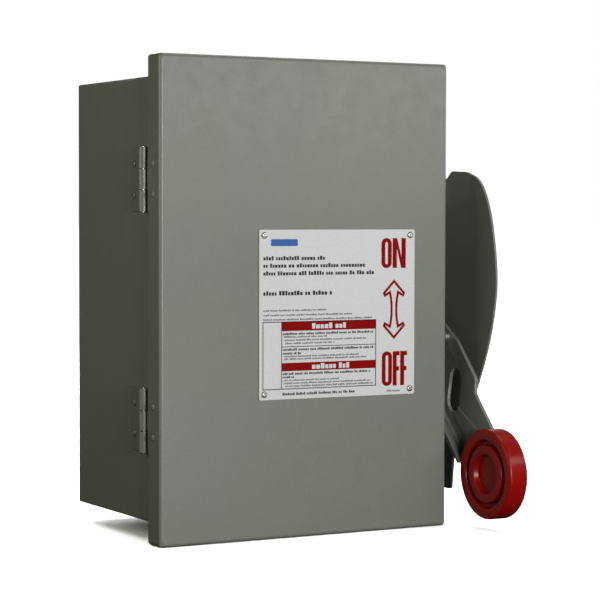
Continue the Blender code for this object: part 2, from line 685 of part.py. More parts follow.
def make_linkage(looks):
    """Two equal cranks and the link between them."""
    first = (PIVOT_Y, PIVOT_Z)
    second = (AXIS_Y, AXIS_Z)
    for name, centre, x, bore, pivot in (
        ("operating_crank", first, CRANK_X, SHAFT_HOLE, PIVOT),
        ("rotor_crank", second, ROTOR_CRANK_X, TIP_HOLE, AXIS),
    ):
        tip = crank_tip(centre)
        outline = arm_outline(centre, 13 * MM, tip, 7 * MM)
        holes = [circle(centre, bore), circle(tip, CRANK_PIN_HOLE, 16)]
        finish(prism(outline, "YZ", x, x + ARM_SHEET, holes), name, looks["zinc"], pivot)
    tips = [crank_tip(first), crank_tip(second)]
    outline = arm_outline(tips[0], 6 * MM, tips[1], 6 * MM)
    holes = [circle(tip, CRANK_PIN_HOLE, 16) for tip in tips]
    link = prism(outline, "YZ", LINK_X, LINK_X + ARM_SHEET, holes)
    finish(link, "drive_link", looks["zinc"], (0, *tips[0]))
    near = rod("X", tips[0], CRANK_PIN, LINK_X - 0.4 * MM, CRANK_X + ARM_SHEET + 0.5 * MM, 16)
    finish(near, "operating_crank_pin", looks["steel"], PIVOT)
    far = rod("X", tips[1], CRANK_PIN, ROTOR_CRANK_X - 0.5 * MM, LINK_X + ARM_SHEET + 0.4 * MM, 16)
    finish(far, "rotor_crank_pin", looks["steel"], AXIS)


def make_bracket(looks):
    """The channel that carries the shaft's inner end and the pawl's pin."""
    low, high = -45 * MM, 35 * MM
    sheet = 2.0 * MM
    wall = WALL_INSIDE - GAP
    web = BRACKET_X + sheet
    profile = [(wall, low), (BRACKET_X, low), (BRACKET_X, high), (wall, high), (wall, high - sheet)]
    profile += [(web, high - sheet), (web, low + sheet), (wall, low + sheet)]
    channel = prism(profile, "XZ", -122 * MM, -45 * MM)
    span = (BRACKET_X - 2 * MM, web + 2 * MM)
    drills = [rod("X", (PIVOT_Y, PIVOT_Z), SHAFT_HOLE, *span), rod("X", (PAWL_Y, PAWL_Z), CRANK_PIN_HOLE, *span, 16)]
    finish(combine(channel, drills, "DIFFERENCE"), "mechanism_bracket", looks["zinc"])
    pin = rod("X", (PAWL_Y, PAWL_Z), CRANK_PIN, CRANK_X - 0.6 * MM, web + MM, 16)
    finish(pin, "pawl_pin", looks["steel"])


def make_spring(looks):
    """The torsion spring round the shaft, a coil of round wire."""
    turns = 4
    per_turn = 20
    wire = 0.8 * MM
    radius = 10.0 * MM
    start = BRACKET_X + 2 * MM + 1.4 * MM
    pitch = 2.1 * MM
    rings = []
    for i in range(turns * per_turn + 1):
        angle = 2 * math.pi * i / per_turn
        along = start + pitch * i / per_turn
        out = Vector((0, math.cos(angle), math.sin(angle)))
        middle = Vector((along, PIVOT_Y, PIVOT_Z)) + out * radius
        side = Vector((1, 0, 0))
        around = [2 * math.pi * k / 6 for k in range(6)]
        rings.append([middle + (out * math.cos(a) + side * math.sin(a)) * wire for a in around])
    finish(loft(rings), "torsion_spring", looks["steel"])


def make_interlock(looks):
    """The pawl that blocks the open door at ON, the keeper it hooks, the door catch and its clip."""
    hub = arc((PAWL_Y, PAWL_Z), 8 * MM, math.radians(-60), math.radians(100), 8)
    nose = [(-139.5, 19.5), (-143.4, 19.5), (-143.4, 28), (-149, 27), (-151.5, 18), (-149, 12.5)]
    at_on = hub + [(y * MM, z * MM) for y, z in nose]
    centre = (PAWL_Y, PAWL_Z)
    outline = turned_about(at_on, centre, PAWL_TRAVEL)
    hole = circle(centre, CRANK_PIN_HOLE, 16)
    pawl = prism(outline, "YZ", CRANK_X, CRANK_X + ARM_SHEET, [hole])
    finish(pawl, "interlock_pawl", looks["zinc"], (0, PAWL_Y, PAWL_Z))
    seat = DOOR_INSIDE + GAP
    sheet = 1.5 * MM
    ahead = seat + sheet
    keeper = [(seat, 30 * MM), (seat, 46 * MM), (ahead, 46 * MM), (ahead, 30 * MM + sheet)]
    keeper += [(-140.5 * MM, 30 * MM + sheet), (-140.5 * MM, 22 * MM), (-142 * MM, 22 * MM), (-142 * MM, 30 * MM)]
    finish(prism(keeper, "YZ", *KEEPER_X), "interlock_keeper", looks["zinc"], HINGE_PIVOT)
    tongue = 62 * MM
    catch = [(seat, tongue - 12 * MM), (seat, tongue + 12 * MM), (ahead, tongue + 12 * MM), (ahead, tongue + sheet)]
    catch += [(-132 * MM, tongue + sheet), (-132 * MM, tongue), (ahead, tongue), (ahead, tongue - 12 * MM)]
    finish(prism(catch, "YZ", *KEEPER_X), "door_catch", looks["zinc"], HINGE_PIVOT)
    leaf = 1.2 * MM
    low = tongue - GAP - leaf
    high = tongue + sheet + GAP + leaf
    clip = [(-152 * MM, low), (-126 * MM, low), (-126 * MM, high), (-152 * MM, high), (-152 * MM, high - leaf)]
    clip += [(-126 * MM - leaf, high - leaf), (-126 * MM - leaf, low + leaf), (-152 * MM, low + leaf)]
    wall = WALL_INSIDE - GAP
    fingers = prism(clip, "YZ", 104 * MM, wall - 0.4 * MM)
    tab = box((wall - sheet, -146 * MM, tongue - 14 * MM), (wall, -127 * MM, tongue + 14 * MM))
    opening = box((wall - 5 * MM, -160 * MM, low + leaf), (wall + MM, -126 * MM - leaf, high - leaf))
    clip_solid = combine(tab, [fingers], "UNION")
    finish(combine(clip_solid, [opening], "DIFFERENCE"), "door_catch_clip", looks["steel"])


# ---------------------------------------------------------------- switch


def make_base(looks):
    """The moulded base with its standoffs, phase barriers and strap bosses, drilled for four screws."""
    low = (-BASE_HALF_WIDTH, AXIS_Z - BASE_HALF_HEIGHT)
    high = (BASE_HALF_WIDTH, AXIS_Z + BASE_HALF_HEIGHT)
    base = prism(rounded(rectangle(low, high), 4 * MM), "XZ", BASE_FRONT, BASE_BACK)
    places = [(x * BASE_SCREW_X, AXIS_Z + z * BASE_SCREW_Z) for x in (-1, 1) for z in (-1, 1)]
    added = [rod("Y", place, 8 * MM, BASE_BACK - MM, BACK_INSIDE - GAP, 16) for place in places]
    for side in (-1, 1):
        x = side * RIB_X
        for end in (-1, 1):
            near, far = sorted((AXIS_Z + end * 15 * MM, AXIS_Z + end * 69 * MM))
            added.append(box((x - 1.5 * MM, RIB_FRONT, near), (x + 1.5 * MM, BASE_FRONT + MM, far)))
    for x in POLES.values():
        for end, face in ((1, AXIS_Y + STRAP_BACK), (-1, AXIS_Y - STRAP_BACK)):
            near, far = sorted((AXIS_Z + end * 34 * MM, AXIS_Z + end * 64 * MM))
            front = face + STRAP_SHEET + GAP if end > 0 else face + GAP
            added.append(box((x - 9 * MM, front, near), (x + 9 * MM, BASE_FRONT + MM, far)))
    base = combine(base, [joined(added)], "UNION")
    drills = [rod("Y", place, 2.9 * MM, BASE_FRONT - 3 * MM, 5 * MM, 12) for place in places]
    finish(combine(base, [joined(drills)], "DIFFERENCE"), "switch_base", looks["moulded_base"])


def make_rotor(looks):
    """The rotor bar with its three blades and two bearing blocks."""
    centre = (AXIS_Y, AXIS_Z)
    inner = BEARING_X - 4.5 * MM
    profile = [(-BEARING_X - 6 * MM, JOURNAL), (-inner, JOURNAL), (-inner, ROTOR_RADIUS), (inner, ROTOR_RADIUS)]
    profile += [(inner, JOURNAL), (BEARING_X + 6 * MM, JOURNAL), (BEARING_X + 6 * MM, ROTOR_TIP)]
    profile += [(ROTOR_CRANK_X + ARM_SHEET + 0.2 * MM, ROTOR_TIP)]
    bar = turned(profile, "X", centre)
    slots = []
    for x in POLES.values():
        wide = BLADE_SHEET / 2 + GAP
        high = BLADE_WIDTH / 2 + GAP
        slots.append(prism(blade_outline(15 * MM, high), "YZ", x - wide, x + wide))
    finish(combine(bar, slots, "DIFFERENCE"), "rotor_bar", looks["rotor_plastic"], AXIS)
    for label, x in POLES.items():
        corners = rounded(blade_outline(BLADE_HALF, BLADE_WIDTH / 2), 2.5 * MM)
        blade = prism(corners, "YZ", x - BLADE_SHEET / 2, x + BLADE_SHEET / 2)
        finish(blade, f"blade_{label}", looks["copper"], AXIS)
    outline = [(BASE_FRONT - GAP, AXIS_Z - 17 * MM), (BASE_FRONT - GAP, AXIS_Z + 17 * MM)]
    outline += arc(centre, 14 * MM, math.radians(60), math.radians(300), 12)
    for label, x in (("left", -BEARING_X), ("right", BEARING_X)):
        block = prism(outline, "YZ", x - 4 * MM, x + 4 * MM, [circle(centre, JOURNAL + 0.2 * MM)])
        finish(block, f"rotor_bearing_{label}", looks["moulded_base"])


def blade_outline(half_length, half_width):
    """A bar through the rotor's axis, turned to its OFF angle."""
    upright = rectangle((AXIS_Y - half_width, AXIS_Z - half_length), (AXIS_Y + half_width, AXIS_Z + half_length))
    return turned_about(upright, (AXIS_Y, AXIS_Z), HANDLE_TRAVEL)


def contact_jaw(x, end):
    """A jaw with two leaves either side of the blade's end and the strap that runs out to the lug."""
    gap = BLADE_SHEET / 2 + GAP
    wide = gap + JAW_SHEET
    web = AXIS_Y + end * STRAP_BACK
    mouth = AXIS_Y - end * 10 * MM
    far = web + end * STRAP_SHEET
    profile = [(x - wide, mouth), (x - gap, mouth), (x - gap, web), (x + gap, web), (x + gap, mouth)]
    profile += [(x + wide, mouth), (x + wide, far), (x - wide, far)]
    jaw_low, jaw_high = sorted((AXIS_Z + end * 19.5 * MM, AXIS_Z + end * 30.5 * MM))
    jaw = prism(profile, "XY", jaw_low, jaw_high)
    low, high = sorted((AXIS_Z + end * 19.0 * MM, AXIS_Z + end * 63 * MM))
    strap = prism(rectangle((x - 6 * MM, low), (x + 6 * MM, high)), "XZ", *sorted((web, far)))
    return combine(jaw, [strap], "UNION")


def lug(x, end):
    """A square wire lug in front of its strap, with a wire hole and a tapped hole for its screw."""
    back = AXIS_Y + STRAP_BACK - GAP if end > 0 else AXIS_Y - STRAP_BACK - STRAP_SHEET - GAP
    front = back - 12 * MM
    low, high = sorted((AXIS_Z + end * 44 * MM, AXIS_Z + end * 60 * MM))
    outline = rounded(rectangle((x - 7.5 * MM, front), (x + 7.5 * MM, back)), MM)
    block = prism(outline, "XY", low, high, [circle((x, back - 5.2 * MM), 3.9 * MM, 16)])
    middle = (x, (low + high) / 2)
    drill = rod("Y", middle, 3.3 * MM, front - MM, back - 5.2 * MM, 12)
    return combine(block, [drill], "DIFFERENCE")


def make_contacts(looks):
    """Jaws and lugs on the line side (above) and the load side (below)."""
    for side, end in (("line", 1), ("load", -1)):
        for label, x in POLES.items():
            finish(contact_jaw(x, end), f"{side}_jaw_{label}", looks["copper"])
            finish(lug(x, end), f"{side}_lug_{label}", looks["lug_aluminium"])


def make_shield(looks):
    """The clear shield over the line lugs and its two screws."""
    side = 92 * MM
    sheet = 2.0 * MM
    front = RIB_FRONT - GAP - sheet
    foot = BASE_FRONT - GAP
    profile = [(-side, foot), (-side, front), (side, front), (side, foot), (side - sheet, foot)]
    profile += [(side - sheet, front + sheet), (-side + sheet, front + sheet), (-side + sheet, foot)]
    shield = prism(profile, "XY", AXIS_Z + 32 * MM, AXIS_Z + 70 * MM)
    places = [(x, AXIS_Z + 52 * MM) for x in (-RIB_X, RIB_X)]
    drills = [rod("Y", place, 2.3 * MM, front - MM, front + sheet + MM, 12) for place in places]
    finish(combine(shield, drills, "DIFFERENCE"), "line_shield", looks["clear_shield"])
    shape = [(RIB_FRONT - GAP, 1.9), (front - GAP, 1.9), (front - GAP, 4.2), (front - 2.6 * MM, 3.4)]
    profile = [(along, radius * MM) for along, radius in shape]
    for label, place in zip(("left", "right"), places):
        finish(turned(profile, "Y", place, steps=12), f"shield_screw_{label}", looks["zinc"])


def make_ground_bar(looks):
    """The ground bar on the back wall with its wire holes."""
    back = BACK_INSIDE - GAP
    front = back - 11 * MM
    low, high = -134 * MM, -122 * MM
    places = [(-100 + 11 * i) * MM for i in range(5)]
    outline = rectangle((-107 * MM, front), (-49 * MM, back))
    wires = [circle((x, back - 4.6 * MM), 2.6 * MM, 12) for x in places]
    bar = prism(outline, "XY", low, high, wires)
    finish(bar, "ground_bar", looks["lug_aluminium"])


def main():
    for old in list(bpy.data.objects):
        bpy.data.objects.remove(old)
    looks = make_materials()
    make_case(looks["case_paint"])
    make_door(looks["case_paint"])
    make_nameplate(looks["nameplate"], looks["zinc"])
    make_hinges(looks)
    make_lever(looks)
    make_grip(looks)
    make_shaft(looks)
    make_guard(looks)
    make_linkage(looks)
    make_bracket(looks)
    make_spring(looks)
    make_interlock(looks)
    make_base(looks)
    make_rotor(looks)
    make_contacts(looks)
    make_shield(looks)
    make_ground_bar(looks)


main()
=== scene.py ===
"""The looks of a side-operated AC disconnect: a painted steel case and door with a printed nameplate, an
outside lever with a red disc grip behind a bowed guard plate, and the switch inside.

World axes: +X is the lever's side, +Y goes into the wall and +Z is up. Lengths are millimetres times MM.
"""

import json
import math
import random

import bmesh
import bpy
from mathutils import Matrix, Vector

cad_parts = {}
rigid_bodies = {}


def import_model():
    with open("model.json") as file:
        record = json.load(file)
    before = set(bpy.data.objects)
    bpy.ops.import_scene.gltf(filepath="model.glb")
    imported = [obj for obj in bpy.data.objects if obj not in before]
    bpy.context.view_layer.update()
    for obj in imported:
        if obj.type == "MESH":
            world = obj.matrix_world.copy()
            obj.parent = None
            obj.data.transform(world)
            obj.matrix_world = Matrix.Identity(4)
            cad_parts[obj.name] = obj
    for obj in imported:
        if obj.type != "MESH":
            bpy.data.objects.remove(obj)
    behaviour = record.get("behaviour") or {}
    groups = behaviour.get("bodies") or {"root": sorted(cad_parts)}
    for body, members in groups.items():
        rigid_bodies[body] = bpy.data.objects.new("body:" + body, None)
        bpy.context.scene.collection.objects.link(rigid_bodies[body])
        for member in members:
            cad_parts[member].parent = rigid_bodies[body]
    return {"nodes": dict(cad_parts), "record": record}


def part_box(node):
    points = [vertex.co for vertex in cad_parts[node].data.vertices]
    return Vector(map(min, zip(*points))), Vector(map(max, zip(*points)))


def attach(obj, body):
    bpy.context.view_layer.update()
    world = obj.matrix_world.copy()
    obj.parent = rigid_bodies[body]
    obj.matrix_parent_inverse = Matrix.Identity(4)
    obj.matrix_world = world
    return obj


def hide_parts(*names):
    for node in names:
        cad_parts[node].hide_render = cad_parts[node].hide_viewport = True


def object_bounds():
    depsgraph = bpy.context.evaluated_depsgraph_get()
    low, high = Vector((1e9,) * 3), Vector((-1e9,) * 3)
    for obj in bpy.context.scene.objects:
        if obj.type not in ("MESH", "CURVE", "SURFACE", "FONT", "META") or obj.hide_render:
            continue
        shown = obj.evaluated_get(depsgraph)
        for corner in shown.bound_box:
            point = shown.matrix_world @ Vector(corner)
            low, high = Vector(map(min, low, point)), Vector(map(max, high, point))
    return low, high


MM = 0.001
PLANES = {"X": "YZ", "Y": "XZ", "Z": "XY"}

for old in list(bpy.data.objects):
    bpy.data.objects.remove(old)
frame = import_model()
CAD_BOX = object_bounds()
NODES = frame["nodes"]


# ---------------------------------------------------------------- outlines


def arc(centre, radius, start, end, steps):
    """Points on an arc, both ends included, from and to angles in degrees."""
    turns = [math.radians(start + (end - start) * i / steps) for i in range(steps + 1)]
    return [(centre[0] + radius * math.cos(a), centre[1] + radius * math.sin(a)) for a in turns]


def circle(centre, radius, steps=32):
    """A closed round outline."""
    return arc(centre, radius, 0, 360, steps)[:-1]


def rectangle(low, high):
    """A closed square-cornered outline."""
    return [low, (high[0], low[1]), high, (low[0], high[1])]


def fillet(corners, radius, steps=6):
    """The outline with each corner cut back by a true arc of this radius, where there is room."""
    points = []
    count = len(corners)
    for i, corner in enumerate(corners):
        here = Vector(corner)
        before = Vector(corners[i - 1]) - here
        after = Vector(corners[(i + 1) % count]) - here
        half = before.angle(after) / 2
        size = radius[i] if isinstance(radius, (list, tuple)) else radius
        reach = min(size / math.tan(half), before.length * 0.49, after.length * 0.49)
        size = reach * math.tan(half)
        if size < 1e-6 or half > math.radians(88):
            points.append(tuple(here))
            continue
        centre = here + (before.normalized() + after.normalized()).normalized() * (size / math.sin(half))
        first = here + before.normalized() * reach - centre
        last = here + after.normalized() * reach - centre
        sweep = first.angle_signed(last)
        for step in range(steps + 1):
            turn = Matrix.Rotation(-sweep * step / steps, 2)
            points.append(tuple(centre + turn @ first))
    return points


def smooth_line(points, steps=10):
    """A smooth line through hand-set points, both ends included."""
    line = [Vector(p) for p in points]
    line = [line[0]] + line + [line[-1]]
    result = []
    for a, b, c, d in zip(line, line[1:], line[2:], line[3:]):
        for step in range(steps):
            t = step / steps
            curve = 2 * b + (c - a) * t + (2 * a - 5 * b + 4 * c - d) * t**2 + (3 * b - a - 3 * c + d) * t**3
            result.append(tuple(curve / 2))
    return result + [tuple(line[-1])]


def offset(points, distance):
    """A closed outline moved outwards by this distance (inwards if negative), with mitred corners."""
    count = len(points)
    area = sum(points[i - 1][0] * points[i][1] - points[i][0] * points[i - 1][1] for i in range(count))
    side = 1 if area > 0 else -1
    result = []
    for i, point in enumerate(points):
        here = Vector(point)
        ahead = (Vector(points[(i + 1) % count]) - here).normalized()
        behind = (here - Vector(points[i - 1])).normalized()
        first = Vector((behind.y, -behind.x)) * side
        second = Vector((ahead.y, -ahead.x)) * side
        mitre = (first + second).normalized()
        result.append(tuple(here + mitre * distance / max(0.3, mitre.dot(first))))
    return result


# ---------------------------------------------------------------- solids


def in_space(plane, a, b, depth):
    """The space point of (a, b) on a named plane at a depth along its normal."""
    if plane == "YZ":
        return Vector((depth, a, b))
    if plane == "XZ":
        return Vector((a, depth, b))
    return Vector((a, b, depth))


def solid_from(bm, name="solid"):
    """An object that holds this mesh, with its faces turned outward."""
    bmesh.ops.recalc_face_normals(bm, faces=bm.faces)
    mesh = bpy.data.meshes.new(name)
    bm.to_mesh(mesh)
    bm.free()
    made = bpy.data.objects.new(name, mesh)
    bpy.context.scene.collection.objects.link(made)
    return made


def add_prism(bm, outline, plane, low, high, holes=()):
    """Adds a flat piece to a mesh: an outline with holes, made thick along the plane's normal."""
    edges = []
    before = set(bm.faces)
    face = None
    for loop in [outline, *holes]:
        verts = [bm.verts.new(in_space(plane, a, b, low)) for a, b in loop]
        if holes:
            edges += [bm.edges.new((verts[i - 1], verts[i])) for i in range(len(verts))]
        else:
            face = bm.faces.new(verts)
    if holes:
        bmesh.ops.triangle_fill(bm, edges=edges, use_beauty=True)
    flat = [face] if face else [f for f in bm.faces if f not in before]
    raised = bmesh.ops.extrude_face_region(bm, geom=flat)
    verts = [item for item in raised["geom"] if isinstance(item, bmesh.types.BMVert)]
    bmesh.ops.translate(bm, verts=verts, vec=in_space(plane, 0, 0, high - low))


def prism(outline, plane, low, high, holes=()):
    """A flat piece: an outline with holes, made thick along the plane's normal."""
    bm = bmesh.new()
    add_prism(bm, outline, plane, low, high, holes)
    return solid_from(bm)


def loft(rings):
    """A skin over rings of points, with its two ends capped."""
    bm = bmesh.new()
    loops = [[bm.verts.new(point) for point in ring] for ring in rings]
    bm.faces.new(loops[0])
    bm.faces.new(loops[-1])
    for first, second in zip(loops, loops[1:]):
        for i in range(len(first)):
            bm.faces.new((first[i - 1], first[i], second[i], second[i - 1]))
    return solid_from(bm)


def turned(profile, axis, centre, steps=32):
    """A round piece from (distance along, radius) points, about a line through centre along X, Y or Z."""
    plane = PLANES[axis]
    rings = []
    for along, radius in profile:
        rings.append([in_space(plane, a, b, along) for a, b in circle(centre, radius, steps)])
    return loft(rings)


def rod(axis, centre, radius, low, high, steps=32):
    """A plain round bar."""
    return turned([(low, radius), (high, radius)], axis, centre, steps=steps)


def combine(target, tools, operation):
    """Adds the tools to the target, or cuts them out of it, and removes them."""
    for tool in tools:
        modifier = target.modifiers.new(operation, "BOOLEAN")
        modifier.operation = operation
        modifier.object = tool
    shaped = target.evaluated_get(bpy.context.evaluated_depsgraph_get())
    mesh = bpy.data.meshes.new_from_object(shaped)
    target.modifiers.clear()
    target.data = mesh
    for tool in tools:
        bpy.data.objects.remove(tool)
    return target


# ---------------------------------------------------------------- surface finish


def smoothing_group():
    """Geometry nodes that weld a mesh's facets into one skin and shade it smooth."""
    group = bpy.data.node_groups.new("weld_and_smooth", "GeometryNodeTree")
    group.interface.new_socket("Geometry", in_out="INPUT", socket_type="NodeSocketGeometry")
    group.interface.new_socket("Geometry", in_out="OUTPUT", socket_type="NodeSocketGeometry")
    start = group.nodes.new("NodeGroupInput")
    weld = group.nodes.new("GeometryNodeMergeByDistance")
    weld.inputs["Distance"].default_value = 0.00001
    drop = group.nodes.new("GeometryNodeRemoveAttribute")
    drop.inputs["Name"].default_value = "custom_normal"
    smooth = group.nodes.new("GeometryNodeSetShadeSmooth")
    end = group.nodes.new("NodeGroupOutput")
    chain = [start, weld, drop, smooth, end]
    for first, second in zip(chain, chain[1:]):
        group.links.new(first.outputs[0], second.inputs[0])
    return group


SMOOTHING = smoothing_group()


def edge_finish(obj, width, segments=2, angle=35):
    """Rounds an object's hard edges and gives its flats and curves clean shading."""
    weld = obj.modifiers.new("weld", "NODES")
    weld.node_group = SMOOTHING
    plain = obj.modifiers.new("flats", "DECIMATE")
    plain.decimate_type = "DISSOLVE"
    plain.angle_limit = math.radians(0.5)
    if width:
        bevel = obj.modifiers.new("edges", "BEVEL")
        bevel.width = width
        bevel.segments = segments
        bevel.limit_method = "ANGLE"
        bevel.angle_limit = math.radians(angle)
        bevel.use_clamp_overlap = True
        bevel.miter_outer = "MITER_ARC"
    normals = obj.modifiers.new("normals", "WEIGHTED_NORMAL")
    normals.mode = "FACE_AREA"
    normals.weight = 95
    normals.keep_sharp = False


def piece(obj, name, look, body, stands_for=(), width=0.3 * MM, segments=2, angle=35):
    """Names a new piece, gives it its material and finish, and lets it ride on its body."""
    obj.name = name
    obj.data.name = name
    obj.data.materials.clear()
    obj.data.materials.append(look)
    for polygon in obj.data.polygons:
        polygon.material_index = 0
        polygon.use_smooth = True
    edge_finish(obj, width, segments, angle)
    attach(obj, body)
    if stands_for:
        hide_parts(*stands_for)
    return obj


# ---------------------------------------------------------------- materials


def blank(name):
    """A new node material, its tree and its shader."""
    made = bpy.data.materials.new(name)
    made.use_nodes = True
    return made, made.node_tree, made.node_tree.nodes["Principled BSDF"]


def noise(tree, scale, detail=3.0, roughness=0.5, stretch=(1, 1, 1)):
    """A noise pattern fixed to the piece, its scale counted per metre."""
    place = tree.nodes.new("ShaderNodeTexCoord")
    spread = tree.nodes.new("ShaderNodeMapping")
    spread.inputs["Scale"].default_value = stretch
    pattern = tree.nodes.new("ShaderNodeTexNoise")
    pattern.inputs["Scale"].default_value = scale
    pattern.inputs["Detail"].default_value = detail
    pattern.inputs["Roughness"].default_value = roughness
    tree.links.new(place.outputs["Object"], spread.inputs["Vector"])
    tree.links.new(spread.outputs["Vector"], pattern.inputs["Vector"])
    return pattern.outputs["Fac"]


def ramp(tree, value, stops):
    """Colours or greys along a value, from (position, colour) stops."""
    made = tree.nodes.new("ShaderNodeValToRGB")
    while len(made.color_ramp.elements) < len(stops):
        made.color_ramp.elements.new(0.5)
    for element, (position, colour) in zip(made.color_ramp.elements, stops):
        element.position = position
        element.color = (*colour, 1) if len(colour) == 3 else colour
    tree.links.new(value, made.inputs["Fac"])
    return made.outputs["Color"]


def span(tree, value, low, high):
    """A value spread from its usual range to low..high."""
    made = tree.nodes.new("ShaderNodeMapRange")
    made.inputs["From Min"].default_value = 0.3
    made.inputs["From Max"].default_value = 0.7
    made.inputs["To Min"].default_value = low
    made.inputs["To Max"].default_value = high
    tree.links.new(value, made.inputs["Value"])
    return made.outputs["Result"]


def bump(tree, shader, layers):
    """Surface relief from (height, strength, depth) layers."""
    before = None
    for height, strength, depth in layers:
        made = tree.nodes.new("ShaderNodeBump")
        made.inputs["Strength"].default_value = strength
        made.inputs["Distance"].default_value = depth
        tree.links.new(height, made.inputs["Height"])
        if before:
            tree.links.new(before, made.inputs["Normal"])
        before = made.outputs["Normal"]
    tree.links.new(before, shader.inputs["Normal"])


def shade(colour, amount):
    """A colour made lighter or darker."""
    return tuple(min(1.0, channel * amount) for channel in colour)


def paint(name, colour, gloss=(0.36, 0.46)):
    """Sprayed and baked paint on sheet steel: soft colour drift, fine mottling and a light orange peel."""
    made, tree, shader = blank(name)
    drift = noise(tree, 7, 2)
    mottle = noise(tree, 420, 4, 0.6)
    mixed = tree.nodes.new("ShaderNodeMix")
    mixed.data_type = "RGBA"
    mixed.blend_type = "MULTIPLY"
    mixed.inputs["Factor"].default_value = 1.0
    warm = tuple(c * k for c, k in zip(colour, (1.04, 1.03, 0.99)))
    cool = tuple(c * k for c, k in zip(colour, (0.96, 0.98, 1.0)))
    tree.links.new(ramp(tree, drift, [(0.3, cool), (0.7, warm)]), mixed.inputs["A"])
    tree.links.new(ramp(tree, mottle, [(0.25, (0.94,) * 3), (0.75, (1.04,) * 3)]), mixed.inputs["B"])
    tree.links.new(mixed.outputs["Result"], shader.inputs["Base Color"])
    tree.links.new(span(tree, noise(tree, 90, 3), *gloss), shader.inputs["Roughness"])
    peel = noise(tree, 380, 2, 0.4)
    fine = noise(tree, 2600, 2, 0.5)
    bump(tree, shader, [(peel, 0.10, 0.0004), (fine, 0.06, 0.0001)])
    return made


def plastic(name, colour, gloss, scale=1400, relief=0.12):
    """Moulded plastic: slight colour drift and a fine moulded grain."""
    made, tree, shader = blank(name)
    shader.inputs["Specular IOR Level"].default_value = 0.25
    drift = noise(tree, 30, 3)
    tone = ramp(tree, drift, [(0.3, shade(colour, 0.9)), (0.7, shade(colour, 1.08))])
    tree.links.new(tone, shader.inputs["Base Color"])
    tree.links.new(span(tree, noise(tree, 160, 3), *gloss), shader.inputs["Roughness"])
    bump(tree, shader, [(noise(tree, scale, 3), relief, 0.0001), (noise(tree, 120, 2), relief, 0.0002)])
    return made


def metal(name, colour, gloss, stretch=(1, 1, 1), scale=300, relief=0.1, tarnish=0.85):
    """Bare or plated metal: cloudy tone, uneven polish and fine drawing marks."""
    made, tree, shader = blank(name)
    shader.inputs["Metallic"].default_value = 1.0
    cloud = noise(tree, 60, 4, 0.6)
    tone = ramp(tree, cloud, [(0.3, shade(colour, tarnish)), (0.7, shade(colour, 1.05))])
    tree.links.new(tone, shader.inputs["Base Color"])
    marks = noise(tree, scale, 4, 0.6, stretch)
    tree.links.new(span(tree, marks, *gloss), shader.inputs["Roughness"])
    bump(tree, shader, [(marks, relief, 0.0001)])
    return made


def spangled_zinc():
    """Bright zinc plate with a faint crystalline tone."""
    made, tree, shader = blank("zinc")
    shader.inputs["Metallic"].default_value = 1.0
    place = tree.nodes.new("ShaderNodeTexCoord")
    cells = tree.nodes.new("ShaderNodeTexVoronoi")
    cells.inputs["Scale"].default_value = 260
    tree.links.new(place.outputs["Object"], cells.inputs["Vector"])
    tone = ramp(tree, cells.outputs["Distance"], [(0.0, (0.5, 0.51, 0.5)), (1.0, (0.64, 0.65, 0.64))])
    tree.links.new(tone, shader.inputs["Base Color"])
    fine = noise(tree, 900, 4, 0.6)
    tree.links.new(span(tree, fine, 0.28, 0.42), shader.inputs["Roughness"])
    bump(tree, shader, [(fine, 0.08, 0.00008)])
    return made


def clear_plastic():
    """Clear polycarbonate sheet with a faint wipe-mark haze."""
    made, tree, shader = blank("clear_shield")
    shader.inputs["Transmission Weight"].default_value = 1.0
    shader.inputs["IOR"].default_value = 1.58
    haze = noise(tree, 40, 5, 0.6, (1, 1, 6))
    tone = ramp(tree, haze, [(0.3, (0.9, 0.95, 0.96)), (0.7, (0.96, 0.98, 0.985))])
    tree.links.new(tone, shader.inputs["Base Color"])
    tree.links.new(span(tree, haze, 0.02, 0.09), shader.inputs["Roughness"])
    bump(tree, shader, [(noise(tree, 25, 2), 0.05, 0.0002)])
    return made


def printed(name, colour, gloss, shine=0.3):
    """Screen-printed ink, or the coated sheet under it."""
    made, tree, shader = blank(name)
    shader.inputs["Specular IOR Level"].default_value = shine
    film = noise(tree, 500, 4, 0.6)
    tone = ramp(tree, film, [(0.3, shade(colour, 0.94)), (0.7, shade(colour, 1.04))])
    tree.links.new(tone, shader.inputs["Base Color"])
    tree.links.new(span(tree, noise(tree, 70, 3), *gloss), shader.inputs["Roughness"])
    bump(tree, shader, [(noise(tree, 1800, 2), 0.05, 0.00006), (noise(tree, 14, 2), 0.05, 0.0006)])
    return made


